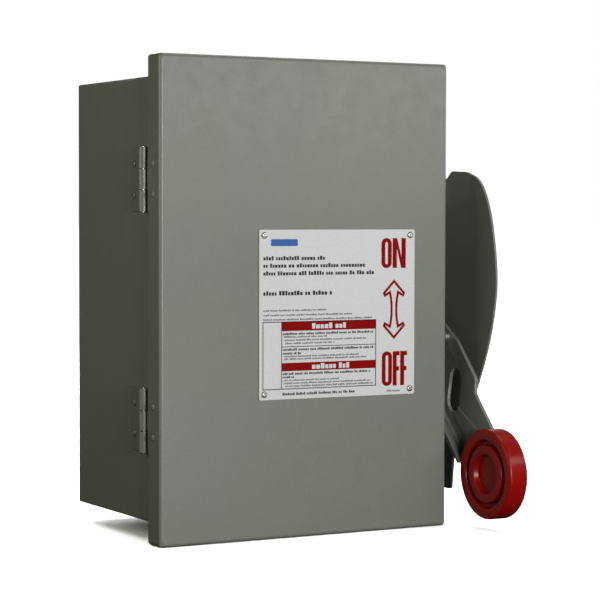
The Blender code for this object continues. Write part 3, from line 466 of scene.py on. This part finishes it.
LOOKS = {
    "case_paint": paint("case_paint", (0.195, 0.205, 0.172)),
    "hinge_paint": paint("hinge_paint", (0.185, 0.192, 0.16), (0.3, 0.4)),
    "lever_paint": paint("lever_paint", (0.185, 0.195, 0.165), (0.34, 0.44)),
    "red_plastic": plastic("red_plastic", (0.27, 0.004, 0.003), (0.26, 0.36)),
    "nameplate": printed("nameplate", (0.66, 0.665, 0.66), (0.34, 0.44)),
    "zinc": spangled_zinc(),
    "steel": metal("steel", (0.45, 0.45, 0.44), (0.26, 0.4), (0.1, 1, 1), 500),
    "moulded_base": plastic("moulded_base", (0.022, 0.022, 0.024), (0.42, 0.56), 900, 0.2),
    "rotor_plastic": plastic("rotor_plastic", (0.11, 0.04, 0.018), (0.34, 0.5), 1000, 0.15),
    "copper": metal("copper", (0.72, 0.38, 0.22), (0.22, 0.4), (1, 1, 0.15), 420, 0.08, 0.7),
    "lug_aluminium": metal("lug_aluminium", (0.74, 0.75, 0.77), (0.26, 0.4), (1, 1, 0.1), 500, 0.1, 0.9),
    "clear_shield": clear_plastic(),
    "print_red": printed("print_red", (0.24, 0.002, 0.0015), (0.4, 0.5), 0.06),
    "print_black": printed("print_black", (0.022, 0.021, 0.022), (0.36, 0.46)),
    "print_grey": printed("print_grey", (0.16, 0.16, 0.165), (0.36, 0.46)),
    "print_blue": printed("print_blue", (0.03, 0.12, 0.38), (0.36, 0.46)),
    "print_white": printed("print_white", (0.66, 0.665, 0.66), (0.36, 0.46)),
}


# ---------------------------------------------------------------- driving places, as in the CAD

DOOR_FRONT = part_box("door")[0].y
DOOR_SIDE = -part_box("door")[0].x
CASE_SIDE = 128.6 * MM
PLATE_LOW, PLATE_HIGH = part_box("nameplate")
PLATE_FRONT = PLATE_LOW.y
PRINT_SHIFT = -1.3
FLOOR_GAP = 0.2 * MM
SEAT_GAP = 0.05 * MM
WALL_GAP = 0.3 * MM
PLATE_RIVET_INSET = 4.6 * MM
RIVET_HOLE = 2.1 * MM
PIVOT_Y = -74.4 * MM
PIVOT_Z = -12.7 * MM
OFF_ANGLE = math.radians(227)
LEVER_X = CASE_SIDE + 23.15 * MM
LEVER_SHEET = 3.0 * MM
LEVER_REAR = -15
LEVER_NECK = 34
LEVER_FRONT = 43.3
LEVER_FLANGE = 9.0
FLANGE_RUN = (34, 162)
GRIP_PLACE = (193.5, 11.2)
GRIP_THICKNESS = 18 * MM
SLOT_TILT = 101
GUARD_X = CASE_SIDE + 34.65 * MM
GUARD_SHEET = 2.0 * MM
GUARD_BEND = 3 * MM
HINGE_Y = -139.9 * MM
HINGE_HEIGHTS = {"upper": 95.6 * MM, "lower": -95.6 * MM}
CASE_RIVET = (22 * MM, 12.5 * MM)
DOOR_RIVET = (-18.5 * MM, 12 * MM)
LEAF_SHEET = 1.5 * MM
BASE_FRONT = -28 * MM
BASE_SCREWS = ((-84, -48), (84, 76))
GROUND_SCREWS = (-100, -89, -78, -67, -56)


def lever_point(u, v):
    """The (y, z) place of a point along (u) and across (v) the lever at OFF."""
    c = math.cos(OFF_ANGLE)
    s = math.sin(OFF_ANGLE)
    return (PIVOT_Y + u * c + v * s, PIVOT_Z + u * s - v * c)


def on_lever(points):
    """The (y, z) outline of points in millimetres along and across the lever."""
    return [lever_point(u * MM, v * MM) for u, v in points]


# ---------------------------------------------------------------- door and case


def pan_ring(half_width, half_height, corner, y):
    """One rounded rectangle of a sheet pan."""
    corners = rectangle((-half_width, -half_height), (half_width, half_height))
    return [Vector((x, y, z)) for x, z in fillet(corners, corner, 6)]


def plate_rivet_places():
    """The (x, z) places of the nameplate's rivets."""
    low = (PLATE_LOW.x + PLATE_RIVET_INSET, PLATE_LOW.z + PLATE_RIVET_INSET)
    high = (PLATE_HIGH.x - PLATE_RIVET_INSET, PLATE_HIGH.z - PLATE_RIVET_INSET)
    return rectangle(low, high)


def make_door():
    """The door: a pan of 1.5 mm sheet with 3 mm bends and rounded corners."""
    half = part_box("door")[1].z
    back = DOOR_FRONT + 21.7 * MM
    bend = 3.0 * MM
    sheet = 1.5 * MM
    rings = []
    for step in range(9):
        turn = math.radians(90 * step / 8)
        cut = bend * (1 - math.sin(turn))
        y = DOOR_FRONT + bend * (1 - math.cos(turn))
        rings.append(pan_ring(DOOR_SIDE - cut, half - cut, 3 * MM, y))
    side = DOOR_SIDE - sheet
    top = half - sheet
    rings.append(pan_ring(DOOR_SIDE, half, 3 * MM, back - 0.4 * MM))
    rings.append(pan_ring(DOOR_SIDE - 0.35 * MM, half - 0.35 * MM, 2.7 * MM, back))
    rings.append(pan_ring(side + 0.35 * MM, top + 0.35 * MM, 1.8 * MM, back))
    rings.append(pan_ring(side, top, 1.5 * MM, back - 0.4 * MM))
    for step in range(5):
        turn = math.radians(90 * step / 4)
        cut = 1.5 * MM * (1 - math.cos(turn))
        y = DOOR_FRONT + sheet + 1.5 * MM * (1 - math.sin(turn))
        rings.append(pan_ring(side - cut, top - cut, 1.5 * MM, y))
    cutters = []
    for x, z in plate_rivet_places():
        cutters.append(rod("Y", (x, z), RIVET_HOLE, DOOR_FRONT - 3 * MM, DOOR_FRONT + 5 * MM, 16))
    for height in HINGE_HEIGHTS.values():
        for end in (-1, 1):
            place = (HINGE_Y + DOOR_RIVET[0], height + end * DOOR_RIVET[1])
            cutters.append(rod("X", place, RIVET_HOLE, -DOOR_SIDE - 3 * MM, -DOOR_SIDE + 4 * MM, 16))
    door = combine(loft(rings), cutters, "DIFFERENCE")
    piece(door, "door_pan", LOOKS["case_paint"], "door", ["door"], width=0)


# ---------------------------------------------------------------- nameplate and its print


class Print:
    """Flat printed shapes of one colour, gathered into one mesh."""

    def __init__(self, thickness=0.05 * MM):
        self.bm = bmesh.new()
        self.front = PLATE_FRONT - thickness

    def shape(self, outline, holes=()):
        """A printed area from outlines in millimetres."""
        scaled = [[((x + PRINT_SHIFT) * MM, z * MM) for x, z in loop] for loop in (outline, *holes)]
        add_prism(self.bm, scaled[0], "XZ", self.front, PLATE_FRONT + 0.02 * MM, scaled[1:])

    def bar(self, left, bottom, right, top):
        """A printed rectangle."""
        self.shape(rectangle((left, bottom), (right, top)))

    def line(self, outline, width):
        """A printed closed line of this width."""
        self.shape(offset(outline, width / 2), [offset(outline, -width / 2)])

    def words(self, left, right, middle, height, seed, letter=0.62):
        """A line of plain blocks, grouped like words, that stands for small print."""
        dice = random.Random(seed)
        x = left
        while x < right - height:
            for _ in range(dice.randint(2, 9)):
                wide = height * letter * dice.uniform(0.75, 1.15)
                if x + wide > right:
                    break
                tall = height if dice.random() < 0.3 else height * 0.74
                self.bar(x, middle - height / 2, x + wide, middle - height / 2 + tall)
                x += wide + height * 0.17
            x += height * 0.5

    def done(self, name, look):
        """The finished print, riding on the door."""
        obj = solid_from(self.bm)
        piece(obj, name, look, "door", width=0)


def letter_o(ink, left, bottom, right, top, stroke):
    """A tall, narrow round mark."""
    outer = fillet(rectangle((left, bottom), (right, top)), (right - left) * 0.46, 8)
    inner = rectangle((left + stroke, bottom + stroke * 0.85), (right - stroke, top - stroke * 0.85))
    ink.shape(outer, [fillet(inner, (right - left - 2 * stroke) * 0.45, 6)])


def letter_n(ink, left, bottom, right, top, stroke):
    """Two stems and a slant."""
    slant = (top - bottom) * 0.36
    points = [(left, bottom), (left + stroke, bottom), (left + stroke, top - slant)]
    points += [(right - stroke * 1.05, bottom), (right, bottom), (right, top), (right - stroke, top)]
    points += [(right - stroke, bottom + slant), (left + stroke * 1.05, top), (left, top)]
    ink.shape(points)


def letter_f(ink, left, bottom, right, top, stroke):
    """A stem with two bars."""
    middle = bottom + (top - bottom) * 0.56
    bar = stroke * 0.92
    points = [(left, bottom), (left + stroke, bottom), (left + stroke, middle - bar)]
    points += [(right - 0.5, middle - bar), (right - 0.5, middle), (left + stroke, middle)]
    points += [(left + stroke, top - bar), (right, top - bar), (right, top), (left, top)]
    ink.shape(points)


def make_print():
    """The marks on the nameplate: ON, OFF and an arrow in red, and blocks that stand for small print."""
    red = Print()
    letter_o(red, 69.6, 23.9, 79.5, 48.6, 3.7)
    letter_n(red, 80.4, 23.9, 93.2, 48.6, 4.2)
    letter_o(red, 70.3, -73.6, 80.2, -45.1, 3.7)
    letter_f(red, 80.9, -73.6, 87.6, -45.1, 3.9)
    letter_f(red, 88.2, -73.6, 94.9, -45.1, 3.9)
    middle = (81.9, -10.3)
    upper = [(0, 23.3), (9.7, 13.4), (8.7, 11.6), (3.9, 14.2), (2.9, 9.0), (2.3, 4.0)]
    right = [(middle[0] + x, middle[1] + z) for x, z in upper]
    right += [(middle[0] + x, middle[1] - z) for x, z in reversed(upper)]
    left = [(2 * middle[0] - x, z) for x, z in reversed(right)]
    red.line(right + left[1:-1], 2.1)
    red.bar(-23.9, -25.9, 64.2, -18.6)
    red.bar(-23.9, -58.3, 64.2, -51.6)
    red.done("print_marks", LOOKS["print_red"])

    white = Print(0.09 * MM)
    white.words(4, 38, -22.2, 4.4, 3, 0.7)
    white.words(4, 40, -54.9, 4.4, 5, 0.7)
    white.done("print_blocks", LOOKS["print_white"])

    blue = Print()
    blue.shape(fillet(rectangle((-34.0, 42.6), (-9.4, 48.2)), 1.2, 4))
    blue.done("print_plain_bar", LOOKS["print_blue"])

    black = Print()
    for end, height, seed in ((19.8, 32.9, 1), (55, 26.9, 2), (62.6, 20.7, 4)):
        black.words(-40.9, end, height, 3.3, seed)
    black.words(-40.9, 24, 4.7, 3.6, 8)
    black.line(rectangle((-41.2, -72.6), (64.4, -18.5)), 0.7)
    black.bar(-24.5, -72.4, -23.8, -18.7)
    black.bar(-24, -38.9, 64.4, -38.3)
    rows = [(62, -28.1, 11), (63, -40.8, 12), (-6, -43.9, 13), (60, -60.4, 14), (-12, -63.0, 15)]
    for end, height, seed in rows:
        black.words(-23.0, end, height, 1.9, seed)
    black.words(-23.4, 44.4, -76.7, 2.2, 16)
    black.done("print_lines", LOOKS["print_black"])

    grey = Print()
    for left_end, end, height, seed in (
        (-40.9, 18.6, -9.2, 21), (-40.9, 42, -12.9, 22), (-40.9, 61.6, -16.5, 23), (-22, 18, -30.6, 24),
        (-22, 56, -33.2, 25), (-21, 26, -35.8, 26), (-22, 50, -46.3, 27), (-22, 56, -48.5, 28),
        (-22, 30, -65.6, 29), (-22, 60, -68.0, 30), (-21, 62, -70.4, 31), (75.3, 88.6, -77.7, 32),
    ):
        grey.words(left_end, end, height, 1.45, seed, 0.8)
    grey.done("print_small_lines", LOOKS["print_grey"])


def make_nameplate():
    """The rounded sheet and its four hollow rivets."""
    low, high = PLATE_LOW, PLATE_HIGH
    outline = fillet(rectangle((low.x, low.z), (high.x, high.z)), 1.6 * MM)
    holes = [circle(place, RIVET_HOLE, 16) for place in plate_rivet_places()]
    plate = prism(outline, "XZ", PLATE_FRONT, high.y, holes)
    piece(plate, "nameplate_sheet", LOOKS["nameplate"], "door", ["nameplate"], 0.18 * MM)
    corners = ("bottom_left", "bottom_right", "top_right", "top_left")
    for corner, place in zip(corners, plate_rivet_places()):
        node = f"nameplate_rivet_{corner}"
        seat = PLATE_FRONT - 0.3 * MM
        profile = [(0.35, 0.0001), (0.35, 0.75), (0.75, 1.0), (1.25, 1.15), (1.25, 1.5), (1.1, 2.0)]
        profile += [(0.75, 2.45), (0.35, 2.68), (0.0, 2.7)]
        points = [(seat - along * MM, radius * MM) for along, radius in profile]
        tail = DOOR_FRONT + 1.8 * MM
        points += [(seat, 1.8 * MM), (tail, 1.8 * MM), (tail, 2.4 * MM), (tail + 0.5 * MM, 1.9 * MM)]
        rivet = turned(points, "Y", place, steps=24)
        piece(rivet, f"{node}_head", LOOKS["zinc"], "door", [node], 0.08 * MM, angle=50)


# ---------------------------------------------------------------- lever, grip and guard


def tongue(grow):
    """The lever's end inside the grip, in millimetres along and across it."""
    root = GRIP_PLACE[0] - 22
    end = arc(GRIP_PLACE, 20 + grow, -90, 90, 20)
    return [(root, LEVER_REAR - grow), *end, (root, LEVER_NECK + grow)]


def lever_solid(profile, start, end):
    """A bar with an (x, across) profile in millimetres, run along the lever."""
    rings = []
    for u in (start, end):
        ring = []
        for x, v in profile:
            y, z = lever_point(u * MM, v * MM)
            ring.append(Vector((x * MM, y, z)))
        rings.append(ring)
    return loft(rings)


def make_lever():
    """The lever plate with its stiffening flange bent in along the lower edge."""
    inner = LEVER_X / MM
    outer = inner + LEVER_SHEET / MM
    hub = arc((0, 0), 24, 110, 265, 24)
    end = tongue(0)
    shoulder = [(127, LEVER_NECK), (118, LEVER_FRONT), (76, LEVER_FRONT)]
    front = fillet([end[-1], *shoulder, hub[0]], [0, 6, 5, 4, 0], 6)[1:-1]
    rear = [(34, LEVER_REAR + 2.6), (160, LEVER_REAR + 2.6), (164, LEVER_REAR)]
    outline = [*hub, (26, -20.6), *rear, *end, *front]
    centre = lever_point(105.5 * MM, 12.6 * MM)
    slot = slot_outline(centre, 38 * MM, 18.5 * MM, SLOT_TILT)
    holes = [circle((PIVOT_Y, PIVOT_Z), 7.3 * MM), slot, circle(lever_point(64 * MM, 34 * MM), 3.3 * MM, 20)]
    plate = prism(on_lever(outline), "YZ", LEVER_X, LEVER_X + LEVER_SHEET, holes)
    bend = (inner - 1.6, LEVER_REAR + 4.6)
    lip = inner - LEVER_FLANGE
    profile = [(outer, -8), *arc(bend, 4.6, 0, -90, 12), (lip, LEVER_REAR), (lip, LEVER_REAR + 3)]
    profile += arc(bend, 1.6, -90, 0, 6) + [(inner, -8)]
    flange = lever_solid(profile, *FLANGE_RUN)
    lever = combine(plate, [flange], "UNION")
    look = LOOKS["lever_paint"]
    piece(lever, "lever_arm", look, "handle", ["handle_lever"], 0.55 * MM, 3, 50)


def slot_outline(centre, length, width, angle):
    """A slot with round ends, its length along the angle in degrees."""
    radius = width / 2
    reach = length / 2 - radius
    c = math.cos(math.radians(angle))
    s = math.sin(math.radians(angle))
    far = (centre[0] + reach * c, centre[1] + reach * s)
    near = (centre[0] - reach * c, centre[1] - reach * s)
    return arc(far, radius, angle - 90, angle + 90, 16) + arc(near, radius, angle + 90, angle + 270, 16)


def make_grip():
    """The red disc grip with a dished and ringed inner face."""
    inner_face = [(4.5, 0.01), (4.5, 14.6), (4.1, 15.4), (0.9, 16.4), (0.25, 16.9), (0, 17.6), (0, 22.8)]
    inner_face += [(0.2, 23.5), (0.8, 24.0), (5.0, 24.4), (5.5, 24.9), (5.5, 27.5), (5.0, 28.0), (1.2, 28.5)]
    inner_face += [(0.4, 28.9), (0, 29.7), (0, 35.2), (0.25, 36.2), (0.8, 37.0), (1.6, 37.4), (2.4, 37.5)]
    outer_face = [(2.4, 37.5), (1.6, 37.4), (0.8, 37.0), (0.25, 36.2), (0, 35.2), (0, 29.9), (0.3, 29.2)]
    outer_face += [(2.4, 28.3), (3.0, 27.6), (3.0, 0.01)]
    low = LEVER_X - GRIP_THICKNESS / 2
    high = low + GRIP_THICKNESS
    points = [(low + along * MM, radius * MM) for along, radius in inner_face]
    points += [(high - along * MM, radius * MM) for along, radius in outer_face]
    disc = turned(points, "X", lever_point(GRIP_PLACE[0] * MM, GRIP_PLACE[1] * MM), steps=96)
    pocket = [(153, LEVER_REAR - 0.4), *tongue(0.4), (153, LEVER_NECK + 0.4)]
    cutter = prism(on_lever(pocket), "YZ", LEVER_X - 0.4 * MM, LEVER_X + LEVER_SHEET + 0.4 * MM)
    grip = combine(disc, [cutter], "DIFFERENCE")
    piece(grip, "grip_disc", LOOKS["red_plastic"], "handle", ["handle_grip"], 0)


def make_guard():
    """The bowed guard plate with its two feet bent to the case wall."""
    front = [(-154, 104.5), (-171, 98.5), (-182, 87), (-190.5, 68), (-196.5, 45), (-199.7, 20), (-199, 0)]
    front += [(-193.5, -26), (-184, -53), (-171.5, -79)]
    bow = smooth_line(front, 10)
    rest = [(-165, -86), (-136, -142), (-133, -169), (-96, -169.5), (-96, -122), (-40, -60)]
    rest += [(-40, 72), (-62, 85), (-125, 99.3), (-132, 105.3)]
    radii = [6, 8, 3, 2, 10, 6, 3, 10, 4, 3]
    corners = fillet([bow[-1], *rest, bow[0]], [0, *radii, 0], 6)[1:-1]
    outline = [(y * MM, z * MM) for y, z in bow + corners]
    lock = slot_outline(lever_point(106.5 * MM, 13.7 * MM), 40 * MM, 16 * MM, SLOT_TILT)
    holes = [circle((PIVOT_Y, PIVOT_Z), 6.3 * MM), lock]
    plate = prism(outline, "YZ", GUARD_X, GUARD_X + GUARD_SHEET, holes)
    wall = CASE_SIDE + WALL_GAP
    outer = GUARD_X + GUARD_SHEET
    feet = []
    for back, low, high in ((-40 * MM, -60 * MM, 72 * MM), (-96 * MM, -169 * MM, -122 * MM)):
        ahead = back - GUARD_SHEET
        corner = arc((outer - GUARD_BEND, back - GUARD_BEND), GUARD_BEND, 0, 90, 8)
        profile = [(outer, back - 6 * MM), *corner]
        profile += [(wall + GUARD_SHEET, back), (wall + GUARD_SHEET, back + 18 * MM), (wall, back + 18 * MM)]
        profile += [(wall, ahead), (GUARD_X, ahead), (GUARD_X, back - 6 * MM)]
        feet.append(prism(profile, "XY", low, high))
    trims = []
    for back, low, high in ((-40 * MM, -61 * MM, 73 * MM), (-96 * MM, -170 * MM, -121 * MM)):
        corner = arc((outer - GUARD_BEND, back - GUARD_BEND), GUARD_BEND, 0, 90, 8)
        trims.append(prism([*corner, (outer + MM, back + MM)], "XY", low, high))
    guard = combine(plate, feet, "UNION")
    screws = [(-29.2, 55), (-29.2, -42), (-85.2, -132), (-85.2, -160)]
    trims += [rod("X", (y * MM, z * MM), 2.8 * MM, wall - MM, wall + 5 * MM, 16) for y, z in screws]
    guard = combine(guard, trims, "DIFFERENCE")
    piece(guard, "guard", LOOKS["lever_paint"], "case", ["guard_plate"], 0.45 * MM, 3, 50)
    for number, (y, z) in enumerate(screws):
        head = hex_screw("X", (y * MM, z * MM), wall + GUARD_SHEET, 1)
        piece(head, f"guard_screw_{number}", LOOKS["zinc"], "case", width=0.2 * MM)


def hex_screw(axis, centre, seat, way):
    """A small hex head on a washer flange, standing off its seat."""
    base = seat + way * SEAT_GAP
    rim = [(0, 4.6), (0.6, 4.6), (0.9, 4.1)]
    flange = turned([(base + way * along * MM, radius * MM) for along, radius in rim], axis, centre)
    plane = PLANES[axis]
    low, high = sorted((base + way * 0.5 * MM, base + way * 3.4 * MM))
    head = prism(circle(centre, 3.7 * MM, 6), plane, low, high)
    return combine(flange, [head], "UNION")


# ---------------------------------------------------------------- small fasteners


def domed_rivet(name, x, place, body):
    """A low domed rivet head that stands off a leaf or flange towards -X."""
    profile = [(0, 2.9), (0.3, 2.95), (0.75, 2.5), (1.1, 1.7), (1.3, 0.8), (1.35, 0.0)]
    points = [(x - along * MM, max(radius, 0.01) * MM) for along, radius in profile]
    head = turned([(x + 1.2 * MM, 1.7 * MM), (x, 1.7 * MM), *points], "X", place, steps=24)
    piece(head, name, LOOKS["hinge_paint"], body, width=0)


def make_hinge_rivets():
    """The two rivets in each hinge leaf."""
    leaf_face = -CASE_SIDE - WALL_GAP - LEAF_SHEET - SEAT_GAP
    for label, height in HINGE_HEIGHTS.items():
        for end, side in ((-1, "bottom"), (1, "top")):
            place = (HINGE_Y + CASE_RIVET[0], height + end * CASE_RIVET[1])
            domed_rivet(f"{label}_case_rivet_{side}", leaf_face, place, "case")
            place = (HINGE_Y + DOOR_RIVET[0], height + end * DOOR_RIVET[1])
            domed_rivet(f"{label}_door_rivet_{side}", -DOOR_SIDE - SEAT_GAP, place, "door")


def pan_head(axis, centre, seat, way, radius, height):
    """A round screw head with a cross slot, standing off its seat."""
    rise = [(0, 0.96), (0.15, 1.0), (0.5, 0.97), (0.8, 0.8), (0.95, 0.55), (1.0, 0.01)]
    base = seat + way * SEAT_GAP
    profile = [(base + way * along * height, share * radius) for along, share in rise]
    head = turned(profile, axis, centre, steps=24)
    plane = PLANES[axis]
    low, high = sorted((base + way * height * 0.45, base + way * height * 1.2))
    wide, narrow = radius * 0.55, radius * 0.13
    cuts = []
    for across, up in ((wide, narrow), (narrow, wide)):
        corners = rectangle((centre[0] - across, centre[1] - up), (centre[0] + across, centre[1] + up))
        cuts.append(prism(corners, plane, low, high))
    return combine(head, [combine(cuts[0], [cuts[1]], "UNION")], "DIFFERENCE")


def make_inner_screws():
    """The screws that hold the switch base, and the binding screws of the ground bar."""
    for number, (x, z) in enumerate(rectangle(*BASE_SCREWS)):
        head = pan_head("Y", (x * MM, z * MM), BASE_FRONT, -1, 4.2 * MM, 2.6 * MM)
        piece(head, f"base_screw_{number}", LOOKS["zinc"], "case", width=0)
    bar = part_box("ground_bar")
    for number, x in enumerate(GROUND_SCREWS):
        place = (x * MM, (bar[0].z + bar[1].z) / 2)
        head = pan_head("Y", place, bar[0].y, -1, 3.0 * MM, 2.0 * MM)
        piece(head, f"ground_screw_{number}", LOOKS["zinc"], "case", width=0)


# ---------------------------------------------------------------- the rest of the CAD pieces


def slot_of(node):
    """The record's material slot of a CAD node."""
    return next(part["material_slot"] for part in frame["record"]["subparts"] if part["node"] == node)


def dress_cad():
    """Gives each CAD node that stays its material, rounded edges and clean shading."""
    square_edged = ("torsion_spring", "case")
    for name, node in NODES.items():
        if node.hide_render:
            continue
        node.data.materials.clear()
        node.data.materials.append(LOOKS[slot_of(name)])
        edge_finish(node, 0 if name in square_edged else 0.25 * MM)


# ---------------------------------------------------------------- stage


def area_light(name, location, target, size, power, colour=(1, 1, 1)):
    """A soft rectangular light aimed at a point."""
    data = bpy.data.lights.new(name, "AREA")
    data.shape = "RECTANGLE"
    data.size, data.size_y = size
    data.energy = power
    data.color = colour
    light = bpy.data.objects.new(name, data)
    light.location = location
    light.rotation_euler = (Vector(target) - Vector(location)).to_track_quat("-Z", "Y").to_euler()
    bpy.context.scene.collection.objects.link(light)


def flat_look(name, colour):
    """A plain matte material for the stage."""
    made, tree, shader = blank(name)
    tone = ramp(tree, noise(tree, 3, 3), [(0.3, shade(colour, 0.98)), (0.7, colour)])
    tree.links.new(tone, shader.inputs["Base Color"])
    shader.inputs["Roughness"].default_value = 0.9
    return made


def make_stage():
    """A pale floor with its own light, a white surround, soft lights and the camera."""
    scene = bpy.context.scene
    floor_level = CAD_BOX[0].z - FLOOR_GAP
    bm = bmesh.new()
    corners = [bm.verts.new((x, y, floor_level)) for x, y in rectangle((-30, -30), (30, 30))]
    bm.faces.new(corners)
    floor = solid_from(bm, "floor")
    floor.data.materials.append(flat_look("floor", (0.93, 0.93, 0.93)))
    floor.visible_diffuse = False
    floor.visible_glossy = False
    world = bpy.data.worlds.new("surround")
    world.use_nodes = True
    world.node_tree.nodes["Background"].inputs["Color"].default_value = (1, 1, 1, 1)
    world.node_tree.nodes["Background"].inputs["Strength"].default_value = 1.0
    world.cycles_visibility.diffuse = False
    world.cycles_visibility.glossy = False
    scene.world = world
    sun = bpy.data.lights.new("floor_sun", "SUN")
    sun.energy = 5.0
    sun.angle = math.radians(80)
    floor_sun = bpy.data.objects.new("floor_sun", sun)
    scene.collection.objects.link(floor_sun)
    only_floor = bpy.data.collections.new("only_floor")
    only_floor.objects.link(floor)
    floor_sun.light_linking.receiver_collection = only_floor
    warm = (1.0, 0.99, 0.86)
    area_light("front_left", (-0.3, -2.0, 0.15), (0, -0.17, 0), (0.4, 0.3), 16.2)
    area_light("front_right", (0.1, -2.1, 0.2), (0, -0.17, 0), (0.6, 0.4), 5.0)
    area_light("low_near", (0.05, -0.7, -0.16), (-0.16, -0.17, -0.12), (0.15, 0.05), 0.3)
    area_light("high_near", (0.45, -0.75, 0.22), (0.02, -0.17, 0.15), (0.3, 0.12), 0.8)
    area_light("high_far", (0.25, -1.0, 0.28), (0, -0.17, 0.15), (0.3, 0.12), 1.05)
    area_light("left", (-0.77, -0.1, 0.2), (-0.13, -0.08, 0), (0.2, 0.4), 1.6, warm)
    area_light("right", (1.9, 0.1, 0.5), (0.1, -0.1, 0), (1.0, 1.0), 12)
    area_light("back", (0.95, 1.8, 0.9), (0, 0, 0), (1.0, 1.0), 19)
    area_light("top", (0.65, 0.2, 1.7), (0, -0.08, 0.1), (0.8, 0.7), 7.5)
    data = bpy.data.cameras.new("camera")
    data.lens = 129.03
    data.sensor_width = 36
    camera = bpy.data.objects.new("camera", data)
    camera.location = (-0.85772, -1.68526, 0.0691)
    camera.rotation_euler = (math.radians(87.686), math.radians(-0.12), math.radians(-29.293))
    scene.collection.objects.link(camera)
    scene.camera = camera
    scene.view_settings.view_transform = "Standard"


make_door()
make_nameplate()
make_print()
make_lever()
make_grip()
make_guard()
make_hinge_rivets()
make_inner_screws()
dress_cad()
make_stage()
